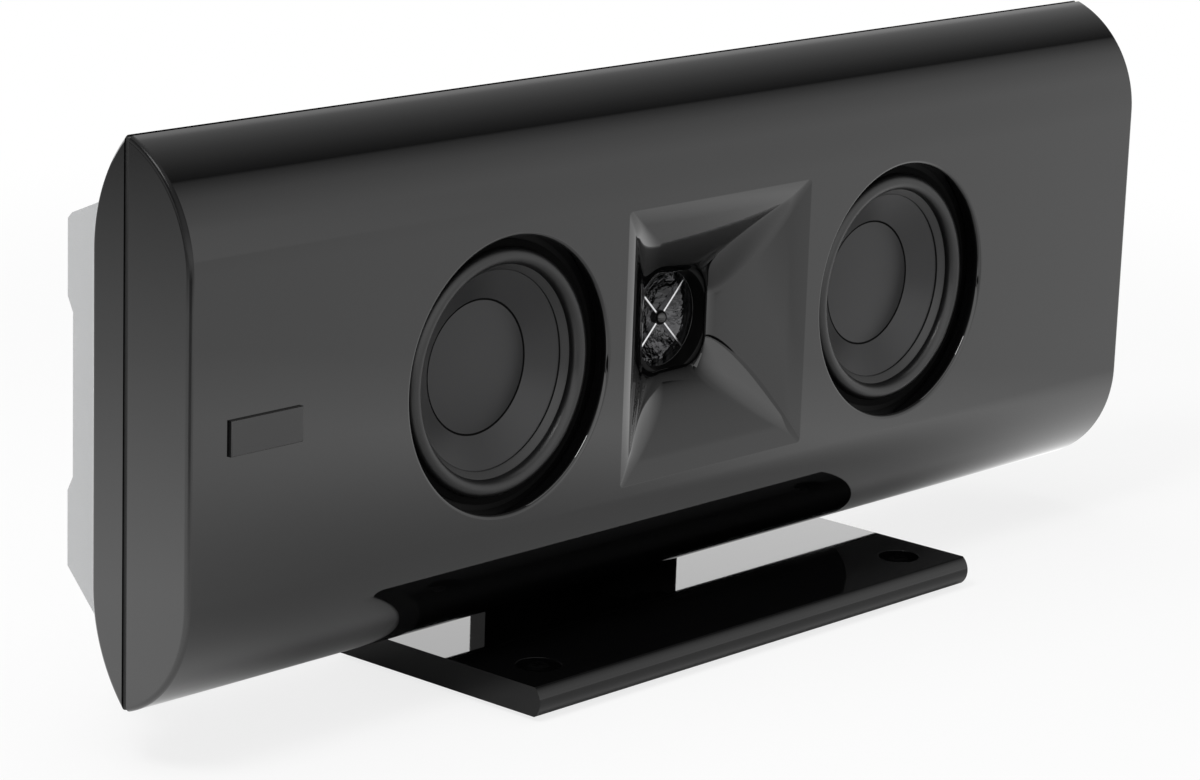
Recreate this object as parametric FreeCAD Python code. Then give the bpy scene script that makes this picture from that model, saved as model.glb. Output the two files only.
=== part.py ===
import FreeCAD, Part
import math
import os

# Low two-way loudspeaker: a lens-section cabinet with two woofers beside a square horn, on an L-shaped stand.
# Millimetres. +X is the listener's right, +Z is up and the front faces -Y.
# The origin lies on the table under the middle of the whole speaker's width and depth.

# Cabinet: two shells that meet at a dark sealed joint, depths counted from the front shell's rim
cabinet_length = 400.0
cabinet_height = 149.4
front_depth = 23.0
front_flat_height = 84.0
joint_width = 1.8
rear_depth = 12.2
rear_flat_height = 88.0
baffle_wall = 4.0
shell_wall = 3.0
end_wall = 4.0
end_edge_round = 1.4
rear_opening_end = 24.0
rear_opening_corner = 8.0
gasket_inset = 0.5
gasket_band = 4.0
case_screw_end = 12.0
case_screw_edge = 17.2
case_screw_columns = 4
case_screw_seat = 3.0
case_screw_grip = 7.0
case_screw_spare = 2.0
case_boss_radius = 3.6

# Back box that gives the drivers their depth
box_end_inset = 12.6
box_reach = 24.2
box_wall = 3.0
box_pad_top = 46.5
box_pad_inner = 26.0
box_recess = 2.1
box_recess_half = 22.0
box_top_lip = 1.7
box_top_slope = 0.416
box_bottom_flat = 57.8
box_root = 1.0
box_screw_end = 6.4
box_screw_rise = 36.0
box_boss_radius = 4.2
box_screw_length = 22.0

# Woofers
woofer_spacing = 169.0
opening_cover = 4.0
opening_lip = 1.2
woofer_seat_rise = 2.5
frame_flange_radius = 43.4
frame_flange_thickness = 2.4
frame_mouth_gap = 0.3
frame_window_count = 6
frame_window_width = 15.0
frame_depth = 17.0
frame_wall = 2.0
frame_ring = 1.6
frame_bore_radius = 20.0
driver_screw_edge = 2.5
driver_screw_count = 4
driver_screw_grip = 2.0
driver_screw_spare = 0.6
roll_inset = 4.8
roll_width = 4.8
surround_flange = 1.9
surround_lip = 2.1
cone_set_back = 1.4
skin_thickness = 0.7
cone_slope = 0.523
cone_thickness = 0.8
cone_neck = 1.4
dust_cap_radius = 18.7
dust_cap_crown = 1.0
former_radius = 13.0
former_wall = 0.4
winding_thickness = 0.5
winding_length = 6.0
spider_outer_radius = 27.0
spider_glue_width = 1.9
spider_rise = 1.4
spider_waves = 3
spider_swing = 0.6
gap_clearance = 0.5
glue_gap = 0.3
top_plate_radius = 30.0
top_plate_thickness = 4.0
magnet_radius = 32.0
magnet_bore_radius = 18.0
magnet_thickness = 10.0
yoke_thickness = 4.0
pole_bevel = 0.8

# Square horn and its compression driver
horn_half_width = 36.9
horn_depth = 17.5
horn_throat_half = 14.0
horn_mouth_corner = 1.2
horn_throat_corner = 7.8
horn_corner_swell = 20.0
horn_wall = 2.2
horn_lip = 2.5
horn_lip_share = 0.12
horn_flare_power = 1.38
horn_stations = (0.0, 0.03, 0.07, 0.12, 0.25, 0.45, 0.7, 1.0)
horn_seat_radius = 24.0
driver_mouth_radius = 15.2
driver_throat_radius = 14.2
driver_plate_thickness = 4.4
dome_crown = 4.8
dome_thickness = 0.5
spoke_count = 4
spoke_width = 0.65
spoke_depth = 2.0
spoke_hub_radius = 2.2
spoke_hub_rise = 1.8
driver_magnet_radius = 19.5
driver_magnet_thickness = 9.0
driver_cap_radius = 19.5
driver_cap_thickness = 5.0
cap_edge_round = 1.5
plug_ring_radius = 17.4
plug_overlap = 1.4
horn_screw_circle = 20.7

# Blank name plate
badge_length = 24.6
badge_height = 9.4
badge_thickness = 1.0
badge_edge_round = 0.35
badge_inset = 25.7

# Terminal cup and its binding posts
cup_inset = 37.4
cup_length = 51.0
cup_height = 39.0
cup_depth = 15.0
cup_wall = 2.0
cup_flange = 6.5
cup_flange_thickness = 1.5
cup_corner = 3.0
cup_screw_grip = 2.6
post_spacing = 19.0
post_radius = 2.0
post_collar_radius = 5.2
post_collar_height = 2.4
post_length = 11.6
post_nut_radius = 4.0
post_nut_height = 3.0
cap_radius = 5.4
cap_length = 8.0
cap_flutes = 10
cap_flute_radius = 0.8
cap_bevel = 0.7
cap_clearance = 0.3

# Crossover board
board_inset = 32.4
board_length = 48.0
board_height = 62.0
board_thickness = 1.6
board_standoff = 3.0
board_post_radius = 3.0
board_post_edge = 1.0
board_screw_spare = 0.5
inductor_radius = 10.0
inductor_bore_radius = 5.0
inductor_height = 12.0
inductor_spread = 15.0
capacitor_radius = 5.0
capacitor_length = 20.0
capacitor_spread = 15.0
capacitor_offset = 12.0

# Keyhole plates for hanging on a wall
hanger_inset = 77.4
hanger_length = 34.0
hanger_height = 15.0
hanger_thickness = 1.6
hanger_pocket_depth = 5.0
keyhole_radius = 4.2
keyslot_radius = 2.2
keyslot_rise = 6.0

# Stand
stand_length = 188.8
stand_front_reach = 46.2
stand_back_reach = 31.0
stand_thickness = 8.4
stand_nose_bulge = 2.1
stand_edge_round = 0.5
stand_tip_gap = 5.6
stand_hole_spacing = 158.6
stand_hole_inset = 15.0
stand_recess_radius = 6.3
stand_recess_depth = 5.6
upright_length = 84.0
upright_thickness = 6.0
upright_flange_reach = 13.0
upright_flange_thickness = 5.0
upright_screw_spacing = 60.0
upright_screw_grip = 8.0
upright_screw_spare = 0.5
upright_inner_round = 0.6
bracket_screw_grip = 6.0
bracket_boss_height = 9.0
foot_radius = 8.0
foot_height = 1.2
foot_bevel = 0.4
foot_bore_depth = 0.7
foot_screw_spare = 0.2

# Screws: shank radius, head radius and head height
small_screw = (1.45, 2.7, 1.8)
large_screw = (1.95, 3.6, 2.4)
flat_screw = (1.95, 3.6, 1.6)
cup_screw = (1.2, 2.3, 0.5)
board_screw = (1.2, 2.2, 1.2)
screw_clearance = 0.15
seat_clearance = 0.2
overrun = 1.0
touch = 0.01

# Places that follow from the sizes above
joint_plane = (stand_front_reach - joint_width - rear_depth - box_reach) / 2
stand_top = foot_height + stand_thickness
axis_height = stand_top + stand_tip_gap + cabinet_height / 2
baffle_front = joint_plane - front_depth
baffle_back = baffle_front + baffle_wall
rear_rim = joint_plane + joint_width
rear_back = rear_rim + rear_depth
box_back = rear_back + box_reach
box_face = box_back - box_recess
box_inside = box_face - box_wall
half_length = cabinet_length / 2
half_height = cabinet_height / 2
rear_opening_length = cabinet_length - 2 * rear_opening_end
case_screw_spread = cabinet_length - 2 * case_screw_end
case_screw_rise = half_height - case_screw_edge
case_screw_depth = rear_rim + case_screw_seat
box_length = cabinet_length - 2 * box_end_inset
box_screw_spread = box_length - 2 * box_screw_end
badge_centre = badge_inset - half_length
cup_centre = box_length / 2 - cup_inset
board_centre = board_inset - box_length / 2
hanger_centre_x = box_length / 2 - hanger_inset
woofer_centre = woofer_spacing / 2
opening_radius = frame_flange_radius - opening_cover
driver_screw_circle = frame_flange_radius - driver_screw_edge
roll_outer_radius = opening_radius - roll_inset
roll_inner_radius = roll_outer_radius - roll_width
frame_mouth_radius = roll_outer_radius + frame_mouth_gap
frame_front = baffle_back + woofer_seat_rise
frame_back = frame_front + frame_depth
spider_seat = frame_back - frame_ring - spider_rise
cone_radius = roll_inner_radius - seat_clearance
coil_radius = former_radius + winding_thickness
horn_back = baffle_front + horn_depth
plate_back = horn_back + driver_plate_thickness
plug_back = plate_back + spoke_depth
dome_back = plug_back + dome_thickness
cup_floor = box_face - cup_depth + cup_wall
collar_top = cup_floor + post_collar_height
board_back = box_inside - board_standoff
board_front = board_back - board_thickness
hanger_centre = axis_height + (box_pad_top + box_pad_inner) / 2
stand_front = joint_plane - stand_front_reach
stand_back = joint_plane + stand_back_reach
bracket_top = axis_height - box_bottom_flat
upright_seat = foot_height + large_screw[2]


def vec(x, y, z):
    return FreeCAD.Vector(x, y, z)


def save(name, *solids):
    """Writes one named piece, or a group of like pieces, to its own file."""
    shape = solids[0] if len(solids) == 1 else Part.makeCompound(list(solids))
    shape.exportStep(f"parts/{name}.step")


def path_wire(points, place):
    """A closed wire through flat points; a pair of points is an arc through the first to the second."""
    edges = []
    first = last = place(*points[0])
    for point in points[1:]:
        if isinstance(point[0], tuple):
            middle, end = place(*point[0]), place(*point[1])
            edges.append(Part.Arc(last, middle, end).toShape())
        else:
            end = place(*point)
            edges.append(Part.LineSegment(last, end).toShape())
        last = end
    if not last.isEqual(first, touch):
        edges.append(Part.LineSegment(last, first).toShape())
    return Part.Wire(edges)


def along_x(points, length):
    """An outline of depth and height, extruded to a length centred on x = 0."""
    wire = path_wire(points, lambda y, z: vec(-length / 2, y, z))
    return Part.Face(wire).extrude(vec(length, 0, 0))


def turned(points, x, z):
    """An outline of radius and depth, turned about an axis along Y."""
    wire = path_wire(points, lambda radius, y: vec(x + radius, y, z))
    return Part.Face(wire).revolve(vec(x, 0, z), vec(0, 1, 0), 360)


def rod(x, z, radius, start, end):
    """A round bar along Y."""
    return Part.makeCylinder(radius, end - start, vec(x, start, z), vec(0, 1, 0))


def ring(x, radius, bore, start, end):
    """A plain round ring on a driver's axis."""
    hole = rod(x, axis_height, bore, start - overrun, end + overrun)
    return rod(x, axis_height, radius, start, end).cut(hole)


def block(x, z, length, height, start, end):
    """A box centred on x and z, from one depth to another."""
    return Part.makeBox(length, end - start, height, vec(x - length / 2, start, z - height / 2))


def arc_inset(radius):
    """How far a round corner's middle lies from each of the two straight edges."""
    return radius * (1 - math.sqrt(0.5))


def rounded_square(half_x, half_z, corner, y):
    """A wire across Y with round corners, centred on the cabinet's axis."""
    a, b, r = half_x, half_z, corner
    k = arc_inset(r)
    return path_wire([
        (r - a, -b),
        (a - r, -b),
        ((a - k, k - b), (a, r - b)),
        (a, b - r),
        ((a - k, b - k), (a - r, b)),
        (r - a, b),
        ((k - a, b - k), (-a, b - r)),
        (-a, r - b),
        ((k - a, k - b), (r - a, -b)),
    ], lambda x, z: vec(x, y, axis_height + z))


def dome_middle(radius, crown):
    """Radius and drop of the point half-way along a round dome's section."""
    sphere = (radius * radius + crown * crown) / (2 * crown)
    angle = math.asin(radius / sphere) / 2
    return sphere * math.sin(angle), sphere * (1 - math.cos(angle))


def screw(size, x, z, seat, depth):
    """A round-headed screw along Y: its head lies behind the seat and its shank runs forward of it."""
    shank, head, height = size
    return rod(x, z, head, seat, seat + height).fuse(rod(x, z, shank, seat - depth, seat)).removeSplitter()


def screw_hole(size, x, z, start, end):
    return rod(x, z, size[0] + screw_clearance, start, end)


def pin(x, y, radius, bottom, top):
    """A round bar that stands upright."""
    return Part.makeCylinder(radius, top - bottom, vec(x, y, bottom))


def upright_hole(size, x, y, bottom, top):
    return pin(x, y, size[0] + screw_clearance, bottom, top)


def lens_half(rim, depth, flat_height, inset, direction):
    """Half of the cabinet's section: a flat face, and two arcs that meet it smoothly and end at the rim."""
    flat = flat_height / 2
    rise = half_height - flat
    radius = (depth * depth + rise * rise) / (2 * depth)
    face = rim + direction * (depth - inset)
    centre = rim + direction * (depth - radius)
    reach = radius - inset
    tip = flat + math.sqrt(reach * reach - (radius - depth) ** 2)
    angle = math.acos((radius - depth) / reach) / 2
    middle = (centre + direction * reach * math.cos(angle), flat + reach * math.sin(angle))
    return [
        (rim, axis_height + tip),
        ((middle[0], axis_height + middle[1]), (face, axis_height + flat)),
        (face, axis_height - flat),
        ((middle[0], axis_height - middle[1]), (rim, axis_height - tip)),
    ]


def case_screw_places():
    step = case_screw_spread / (case_screw_columns - 1)
    for column in range(case_screw_columns):
        for side in (-1, 1):
            yield -case_screw_spread / 2 + column * step, axis_height + side * case_screw_rise


def horn_sections(grow):
    """Squares from the mouth's soft lip back to the throat, with corners that swell half-way along."""
    wires = []
    for share in horn_stations:
        flare = (1 - share) ** horn_flare_power
        half = horn_throat_half + (horn_half_width - horn_throat_half) * flare
        half += horn_lip * max(0, 1 - share / horn_lip_share) ** 2
        corner = horn_mouth_corner + (horn_throat_corner - horn_mouth_corner) * share
        corner += horn_corner_swell * share * (1 - share)
        y = baffle_front + horn_depth * share
        wires.append(rounded_square(half + grow, half + grow, corner + grow, y))
    return wires


def end_edges(solid, depth):
    """The edges round a shell's two end faces, without those in the joint's plane at that depth."""
    edges = [e for e in solid.Edges if abs(abs(e.CenterOfMass.x) - half_length) < end_edge_round / 2]
    return [e for e in edges if abs(e.CenterOfMass.y - depth) > end_edge_round / 2]


def front_shell():
    """Front moulding: the curved face, its end walls, the woofer openings and the horn in one piece."""
    outer = along_x(lens_half(joint_plane, front_depth, front_flat_height, 0, -1), cabinet_length)
    outer = outer.makeFillet(end_edge_round, end_edges(outer, joint_plane))
    cavity_section = lens_half(joint_plane, front_depth, front_flat_height, baffle_wall, -1)
    shell = outer.cut(along_x(cavity_section, cabinet_length - 2 * end_wall))
    added = [Part.makeLoft(horn_sections(horn_wall), True, False)]
    added.append(rod(0, axis_height, horn_seat_radius, horn_back - horn_wall, horn_back))
    for x, z in case_screw_places():
        added.append(rod(x, z, case_boss_radius, baffle_front, joint_plane).common(outer))
    for x in (-woofer_centre, woofer_centre):
        added.append(rod(x, axis_height, frame_flange_radius, baffle_front + opening_lip, frame_front))
    shell = shell.fuse(added)
    horn = horn_sections(0)
    holes = [Part.makeLoft(horn, True, False), Part.Face(horn[-1]).extrude(vec(0, overrun, 0))]
    for x, z in case_screw_places():
        start = joint_plane - case_screw_grip - case_screw_spare
        holes.append(screw_hole(small_screw, x, z, start, joint_plane + overrun))
    for x in (-woofer_centre, woofer_centre):
        inner = opening_radius - opening_lip
        k = arc_inset(opening_lip)
        holes.append(turned([
            (0, baffle_front - overrun),
            (opening_radius, baffle_front - overrun),
            (opening_radius, baffle_front),
            ((inner + k, baffle_front + k), (inner, baffle_front + opening_lip)),
            (inner, frame_front + overrun),
            (0, frame_front + overrun),
        ], x, axis_height))
        for sx, sz in driver_screws(x):
            start = frame_front - driver_screw_grip - driver_screw_spare
            holes.append(screw_hole(small_screw, sx, sz, start, frame_front + overrun))
    for sx, sz in horn_driver_screws():
        holes.append(screw_hole(small_screw, sx, sz, horn_back - horn_wall - overrun, horn_back + overrun))
    return shell.cut(holes)


def rear_shell():
    """Rear moulding: the shallower half of the lens, with one large opening behind the drivers."""
    outer = along_x(lens_half(rear_rim, rear_depth, rear_flat_height, 0, 1), cabinet_length)
    outer = outer.makeFillet(end_edge_round, end_edges(outer, rear_rim))
    cavity_section = lens_half(rear_rim, rear_depth, rear_flat_height, shell_wall, 1)
    shell = outer.cut(along_x(cavity_section, cabinet_length - 2 * end_wall))
    window = rounded_square(rear_opening_length / 2, rear_flat_height / 2, rear_opening_corner, rear_rim)
    bosses = [rod(x, z, case_boss_radius, rear_rim, rear_back).common(outer) for x, z in case_screw_places()]
    holes = [Part.Face(window).extrude(vec(0, rear_depth + overrun, 0))]
    for x, z in case_screw_places():
        holes.append(screw_hole(small_screw, x, z, rear_rim - overrun, rear_back + overrun))
        holes.append(rod(x, z, small_screw[1] + screw_clearance, case_screw_depth, rear_back + overrun))
    for x, z in box_screw_places():
        holes.append(screw_hole(small_screw, x, z, rear_rim, rear_back + overrun))
    return shell.fuse(bosses).cut(holes)


def box_screw_places():
    for x in (-box_screw_spread / 2, box_screw_spread / 2):
        for side in (-1, 1):
            yield x, axis_height + side * box_screw_rise


def back_box():
    """Grey back box: sloping top, two raised wall pads, a bevelled bottom edge and an open front."""
    inner_start = rear_rim + box_root
    top_edge = box_back - box_top_lip

    def top_line(y, drop):
        return axis_height + box_pad_top + box_top_lip + box_top_slope * (top_edge - y) - drop

    bevel = box_bottom_flat - box_pad_top
    bottom = bracket_top
    body = along_x([
        (inner_start, top_line(inner_start, 0)),
        (top_edge, top_line(top_edge, 0)),
        (box_back, axis_height + box_pad_top),
        (box_back, axis_height + box_pad_inner),
        (box_face, axis_height + box_recess_half),
        (box_face, axis_height - box_recess_half),
        (box_back, axis_height - box_pad_inner),
        (box_back, axis_height - box_pad_top),
        (box_back - bevel, bottom),
        (inner_start, bottom),
    ], box_length)
    slant = box_wall * math.sqrt(2)
    top_wall = box_wall * math.hypot(1, box_top_slope)
    cavity = along_x([
        (rear_rim, top_line(rear_rim, top_wall)),
        (box_inside, top_line(box_inside, top_wall)),
        (box_inside, axis_height - box_pad_top - (box_back - box_inside) + slant),
        (box_back - bevel + box_wall - slant, bottom + box_wall),
        (rear_rim, bottom + box_wall),
    ], box_length - 2 * box_wall)
    shell = body.cut(cavity)
    added = []
    for x, z in box_screw_places():
        added.append(rod(x, z, box_boss_radius, rear_rim, box_face))
    for x in hanger_places():
        start = box_back - hanger_thickness - hanger_pocket_depth - box_wall
        length, height = hanger_length + 2 * box_wall, hanger_height + box_wall
        added.append(block(x, hanger_centre, length, height, start, box_face))
    for x, z in board_posts():
        added.append(rod(x, z, board_post_radius, board_back, box_face))
    for x, y in bracket_screw_places():
        added.append(pin(x, y, box_boss_radius, bottom, bottom + bracket_boss_height))
    shell = shell.fuse([piece.common(body) for piece in added])
    holes = [along_x(lens_half(rear_rim, rear_depth, rear_flat_height, 0, 1), cabinet_length)]
    for x, z in box_screw_places():
        holes.append(screw_hole(small_screw, x, z, rear_rim, box_back + overrun))
        well = small_screw[1] + screw_clearance
        holes.append(rod(x, z, well, box_face - small_screw[2], box_back + overrun))
    seat = 2 * seat_clearance
    for x in hanger_places():
        plate_front = box_back - hanger_thickness
        length, height = hanger_length + seat, hanger_height + seat
        holes.append(block(x, hanger_centre, length, height, plate_front, box_back + overrun))
        length, height = hanger_length - 2 * box_wall, hanger_height - box_wall
        holes.append(block(x, hanger_centre, length, height, plate_front - hanger_pocket_depth, box_back))
    for x, z in board_posts():
        holes.append(screw_hole(board_screw, x, z, board_back - overrun, box_inside))
    for x, y in bracket_screw_places():
        holes.append(upright_hole(small_screw, x, y, bottom - overrun, bottom + bracket_screw_grip))
    length, height = cup_length - 2 * cup_flange + seat, cup_height - 2 * cup_flange + seat
    holes.append(block(cup_centre, axis_height, length, height, box_inside - overrun, box_face + overrun))
    for x, z in cup_screw_places():
        holes.append(screw_hole(cup_screw, x, z, box_inside - overrun, box_face + overrun))
    return shell.cut(holes)


def joint_gasket():
    """Soft sealing strip between the two shells, set back to leave a dark line round the cabinet."""
    length = cabinet_length - 2 * gasket_inset
    height = cabinet_height - 2 * gasket_inset
    band = block(0, axis_height, length, height, joint_plane, rear_rim)
    length, height = length - 2 * gasket_band, height - 2 * gasket_band
    return band.cut(block(0, axis_height, length, height, joint_plane - overrun, rear_rim + overrun))


def driver_screws(x):
    for index in range(driver_screw_count):
        angle = 2 * math.pi * (index + 0.5) / driver_screw_count
        yield x + driver_screw_circle * math.cos(angle), axis_height + driver_screw_circle * math.sin(angle)


def cone_front(radius):
    """Depth of the cone's front surface at a radius."""
    return frame_front + cone_set_back + (cone_radius - radius) * cone_slope


def woofer_frame(x):
    """Pressed basket: a flat flange behind the baffle, a ribbed bowl and a ring that holds the magnet."""
    ledge = spider_outer_radius + frame_wall / 2
    flange_back = frame_front + frame_flange_thickness
    bowl = turned([
        (frame_mouth_radius, frame_front),
        (frame_flange_radius, frame_front),
        (frame_flange_radius, flange_back),
        (frame_mouth_radius + frame_wall, flange_back),
        (ledge + frame_wall, spider_seat),
        (ledge + frame_wall, frame_back),
        (frame_bore_radius, frame_back),
        (frame_bore_radius, frame_back - frame_ring),
        (spider_outer_radius - spider_glue_width, frame_back - frame_ring),
        (spider_outer_radius - spider_glue_width, spider_seat),
        (ledge, spider_seat),
        (frame_mouth_radius, flange_back),
    ], x, axis_height)
    windows = []
    for index in range(frame_window_count):
        angle = 360 * index / frame_window_count
        window = block(0, 0, frame_window_width, frame_flange_radius, flange_back + frame_wall,
                       spider_seat - frame_wall)
        window.translate(vec(0, 0, frame_flange_radius / 2 + spider_outer_radius - frame_wall))
        window.rotate(vec(0, 0, 0), vec(0, 1, 0), angle)
        window.translate(vec(x, 0, axis_height))
        windows.append(window)
    start, end = frame_front - overrun, flange_back + overrun
    holes = [screw_hole(small_screw, sx, sz, start, end) for sx, sz in driver_screws(x)]
    return bowl.cut(windows + holes)


def woofer_surround(x):
    """Rubber half-roll: a flange glued to the frame, the roll, and a lip over the cone's edge."""
    middle = (roll_outer_radius + roll_inner_radius) / 2
    rise = (roll_outer_radius - roll_inner_radius) / 2
    lip = roll_inner_radius - surround_lip
    skin = skin_thickness
    lip_back = cone_front(lip) - glue_gap
    edge_back = cone_front(roll_inner_radius) - glue_gap
    return turned([
        (roll_outer_radius + surround_flange, frame_front),
        (roll_outer_radius + surround_flange, frame_front - skin),
        (roll_outer_radius, frame_front - skin),
        ((middle, frame_front - rise - skin), (roll_inner_radius, edge_back - skin)),
        (lip, lip_back - skin),
        (lip, lip_back),
        (roll_inner_radius + skin / 2, edge_back),
        ((middle, frame_front - rise), (roll_outer_radius - skin / 2, frame_front)),
    ], x, axis_height)


def woofer_cone(x):
    """Thin spun cone, straight in section, with a short neck glued to the voice coil's tube."""
    neck = cone_front(former_radius)
    return turned([
        (cone_radius, cone_front(cone_radius)),
        (former_radius, neck),
        (former_radius, neck + cone_neck),
        (former_radius + cone_thickness, neck + cone_neck),
        (former_radius + cone_thickness, cone_front(former_radius + cone_thickness) + cone_thickness),
        (cone_radius, cone_front(cone_radius) + cone_thickness),
    ], x, axis_height)


def woofer_dust_cap(x):
    """Shallow dome glued to the middle of the cone."""
    edge = cone_front(dust_cap_radius)
    crown = edge - dust_cap_crown
    inner = dust_cap_radius - cone_thickness
    inner_crown = crown + cone_thickness
    middle, drop = dome_middle(dust_cap_radius, dust_cap_crown)
    inner_middle, inner_drop = dome_middle(inner, cone_front(inner) - inner_crown)
    return turned([
        (0, crown),
        ((middle, crown + drop), (dust_cap_radius, edge)),
        (inner, cone_front(inner)),
        ((inner_middle, inner_crown + inner_drop), (0, inner_crown)),
    ], x, axis_height)


def woofer_coil(x):
    """Voice coil: a thin tube with its winding in the magnet's gap."""
    start = cone_front(former_radius)
    middle = frame_back + top_plate_thickness / 2
    end = middle + winding_length / 2 + former_wall
    return turned([
        (former_radius - former_wall, start),
        (former_radius, start),
        (former_radius, middle - winding_length / 2),
        (coil_radius, middle - winding_length / 2),
        (coil_radius, middle + winding_length / 2),
        (former_radius, middle + winding_length / 2),
        (former_radius, end),
        (former_radius - former_wall, end),
    ], x, axis_height)


def woofer_spider(x):
    """Corrugated cloth ring that centres the voice coil."""
    back = spider_seat
    front = back - skin_thickness
    start = spider_outer_radius - spider_glue_width
    end = former_radius + cone_thickness + glue_gap
    step = (start - end) / (2 * spider_waves)
    forward = [(spider_outer_radius, back), (spider_outer_radius, front), (start, front)]
    backward = [(start, back)]
    for index in range(1, 2 * spider_waves):
        swing = spider_swing if index % 2 else -spider_swing
        forward.append((start - index * step, front - swing))
        backward.insert(0, (start - index * step, back - swing))
    return turned(forward + [(end, front), (end, back)] + backward, x, axis_height)


def woofer_top_plate(x):
    """Steel ring round the coil's gap."""
    bore = coil_radius + gap_clearance
    return ring(x, top_plate_radius, bore, frame_back, frame_back + top_plate_thickness)


def woofer_magnet(x):
    front = frame_back + top_plate_thickness
    return ring(x, magnet_radius, magnet_bore_radius, front, front + magnet_thickness)


def woofer_yoke(x):
    """Steel back plate with the round pole that fills the coil."""
    front = frame_back + top_plate_thickness + magnet_thickness
    pole = former_radius - former_wall - gap_clearance
    return turned([
        (0, frame_back),
        (pole - pole_bevel, frame_back),
        (pole, frame_back + pole_bevel),
        (pole, front),
        (top_plate_radius, front),
        (top_plate_radius, front + yoke_thickness - pole_bevel),
        (top_plate_radius - pole_bevel, front + yoke_thickness),
        (0, front + yoke_thickness),
    ], x, axis_height)


def horn_driver_screws():
    for index in range(driver_screw_count):
        angle = 2 * math.pi * index / driver_screw_count
        yield (horn_screw_circle * math.cos(angle), axis_height + horn_screw_circle * math.sin(angle))


def horn_driver_plate():
    """Front plate of the compression driver, bored to a taper that carries on from the horn's throat."""
    plate = turned([
        (driver_mouth_radius, horn_back),
        (horn_seat_radius, horn_back),
        (horn_seat_radius, plate_back),
        (driver_throat_radius, plate_back),
    ], 0, axis_height)
    start, end = horn_back - overrun, plate_back + overrun
    return plate.cut([screw_hole(small_screw, x, z, start, end) for x, z in horn_driver_screws()])


def horn_phase_plug():
    """Ring with crossed spokes and a small bullet at their middle, in front of the dome."""
    rim = ring(0, plug_ring_radius, driver_throat_radius, plate_back, plug_back)
    pieces = []
    for index in range(spoke_count):
        spoke = block(0, 0, spoke_width, driver_throat_radius + plug_overlap, plate_back, plug_back)
        spoke.translate(vec(0, 0, (driver_throat_radius + plug_overlap) / 2))
        spoke.rotate(vec(0, 0, 0), vec(0, 1, 0), 360 * (index + 0.5) / spoke_count)
        spoke.translate(vec(0, 0, axis_height))
        pieces.append(spoke)
    middle, drop = dome_middle(spoke_hub_radius, spoke_hub_rise)
    tip = plate_back - spoke_hub_rise
    bullet = turned([
        (0, tip),
        ((middle, tip + drop), (spoke_hub_radius, plate_back)),
        (spoke_hub_radius, plug_back),
        (0, plug_back),
    ], 0, axis_height)
    return rim.fuse(pieces + [bullet]).removeSplitter()


def horn_dome():
    """Thin metal diaphragm, dished away from the horn, with a flat rim."""
    edge = driver_throat_radius - plug_overlap
    middle, drop = dome_middle(edge, dome_crown)
    bottom = plug_back + dome_crown
    return turned([
        (0, bottom),
        ((middle, bottom - drop), (edge, plug_back)),
        (plug_ring_radius, plug_back),
        (plug_ring_radius, dome_back),
        (edge, dome_back),
        ((middle, bottom - drop + dome_thickness), (0, bottom + dome_thickness)),
    ], 0, axis_height)


def horn_magnet():
    """Ring magnet behind the diaphragm."""
    return ring(0, driver_magnet_radius, driver_throat_radius, dome_back, dome_back + driver_magnet_thickness)


def horn_driver_cap():
    """Moulded cover over the back of the compression driver."""
    front = dome_back + driver_magnet_thickness
    back = front + driver_cap_thickness
    k = arc_inset(cap_edge_round)
    return turned([
        (0, front),
        (driver_cap_radius, front),
        (driver_cap_radius, back - cap_edge_round),
        ((driver_cap_radius - k, back - k), (driver_cap_radius - cap_edge_round, back)),
        (0, back),
    ], 0, axis_height)


def badge():
    """Blank raised plate in the name badge's place."""
    plate_front = baffle_front - badge_thickness
    plate = block(badge_centre, axis_height, badge_length, badge_height, plate_front, baffle_front)
    front_edges = [e for e in plate.Edges if e.CenterOfMass.y < plate_front + touch]
    return plate.makeFillet(badge_edge_round, front_edges)


def cup_screw_places():
    reach_x, reach_z = (cup_length - cup_flange) / 2, (cup_height - cup_flange) / 2
    for x in (-reach_x, reach_x):
        for z in (-reach_z, reach_z):
            yield cup_centre + x, axis_height + z


def post_places():
    return {"plus": cup_centre - post_spacing / 2, "minus": cup_centre + post_spacing / 2}


def terminal_cup():
    """Moulded cup let into the back, with a flange round its mouth."""
    body_length = cup_length - 2 * cup_flange
    body_height = cup_height - 2 * cup_flange
    flange_back = box_face + cup_flange_thickness
    cup = block(cup_centre, axis_height, body_length, body_height, box_face - cup_depth, box_face)
    cup = cup.fuse(block(cup_centre, axis_height, cup_length, cup_height, box_face, flange_back))
    corners = [e for e in cup.Edges if abs(e.Length - cup_flange_thickness) < touch]
    cup = cup.makeFillet(cup_corner, corners)
    holes = [block(cup_centre, axis_height, body_length - 2 * cup_wall, body_height - 2 * cup_wall,
                   cup_floor, flange_back + overrun)]
    hole_start = box_face - cup_depth - overrun
    for x in post_places().values():
        holes.append(rod(x, axis_height, post_radius + seat_clearance, hole_start, cup_floor + overrun))
    for x, z in cup_screw_places():
        holes.append(screw_hole(cup_screw, x, z, box_face - overrun, flange_back + overrun))
    return cup.cut(holes)


def terminal_post(x):
    """Threaded stud with a collar on the cup's floor and a nut behind it."""
    nut_front = box_face - cup_depth
    turns = [math.radians(60 * k) for k in range(6)]
    corners = [(post_nut_radius * math.cos(t), post_nut_radius * math.sin(t)) for t in turns]
    outline = path_wire(corners, lambda u, v: vec(x + u, nut_front, axis_height + v))
    nut = Part.Face(outline).extrude(vec(0, -post_nut_height, 0))
    stud_front = nut_front - post_nut_height - post_radius
    stud = rod(x, axis_height, post_radius, stud_front, cup_floor + post_length)
    collar = rod(x, axis_height, post_collar_radius, cup_floor, collar_top)
    return stud.fuse([nut, collar]).removeSplitter()


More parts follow.
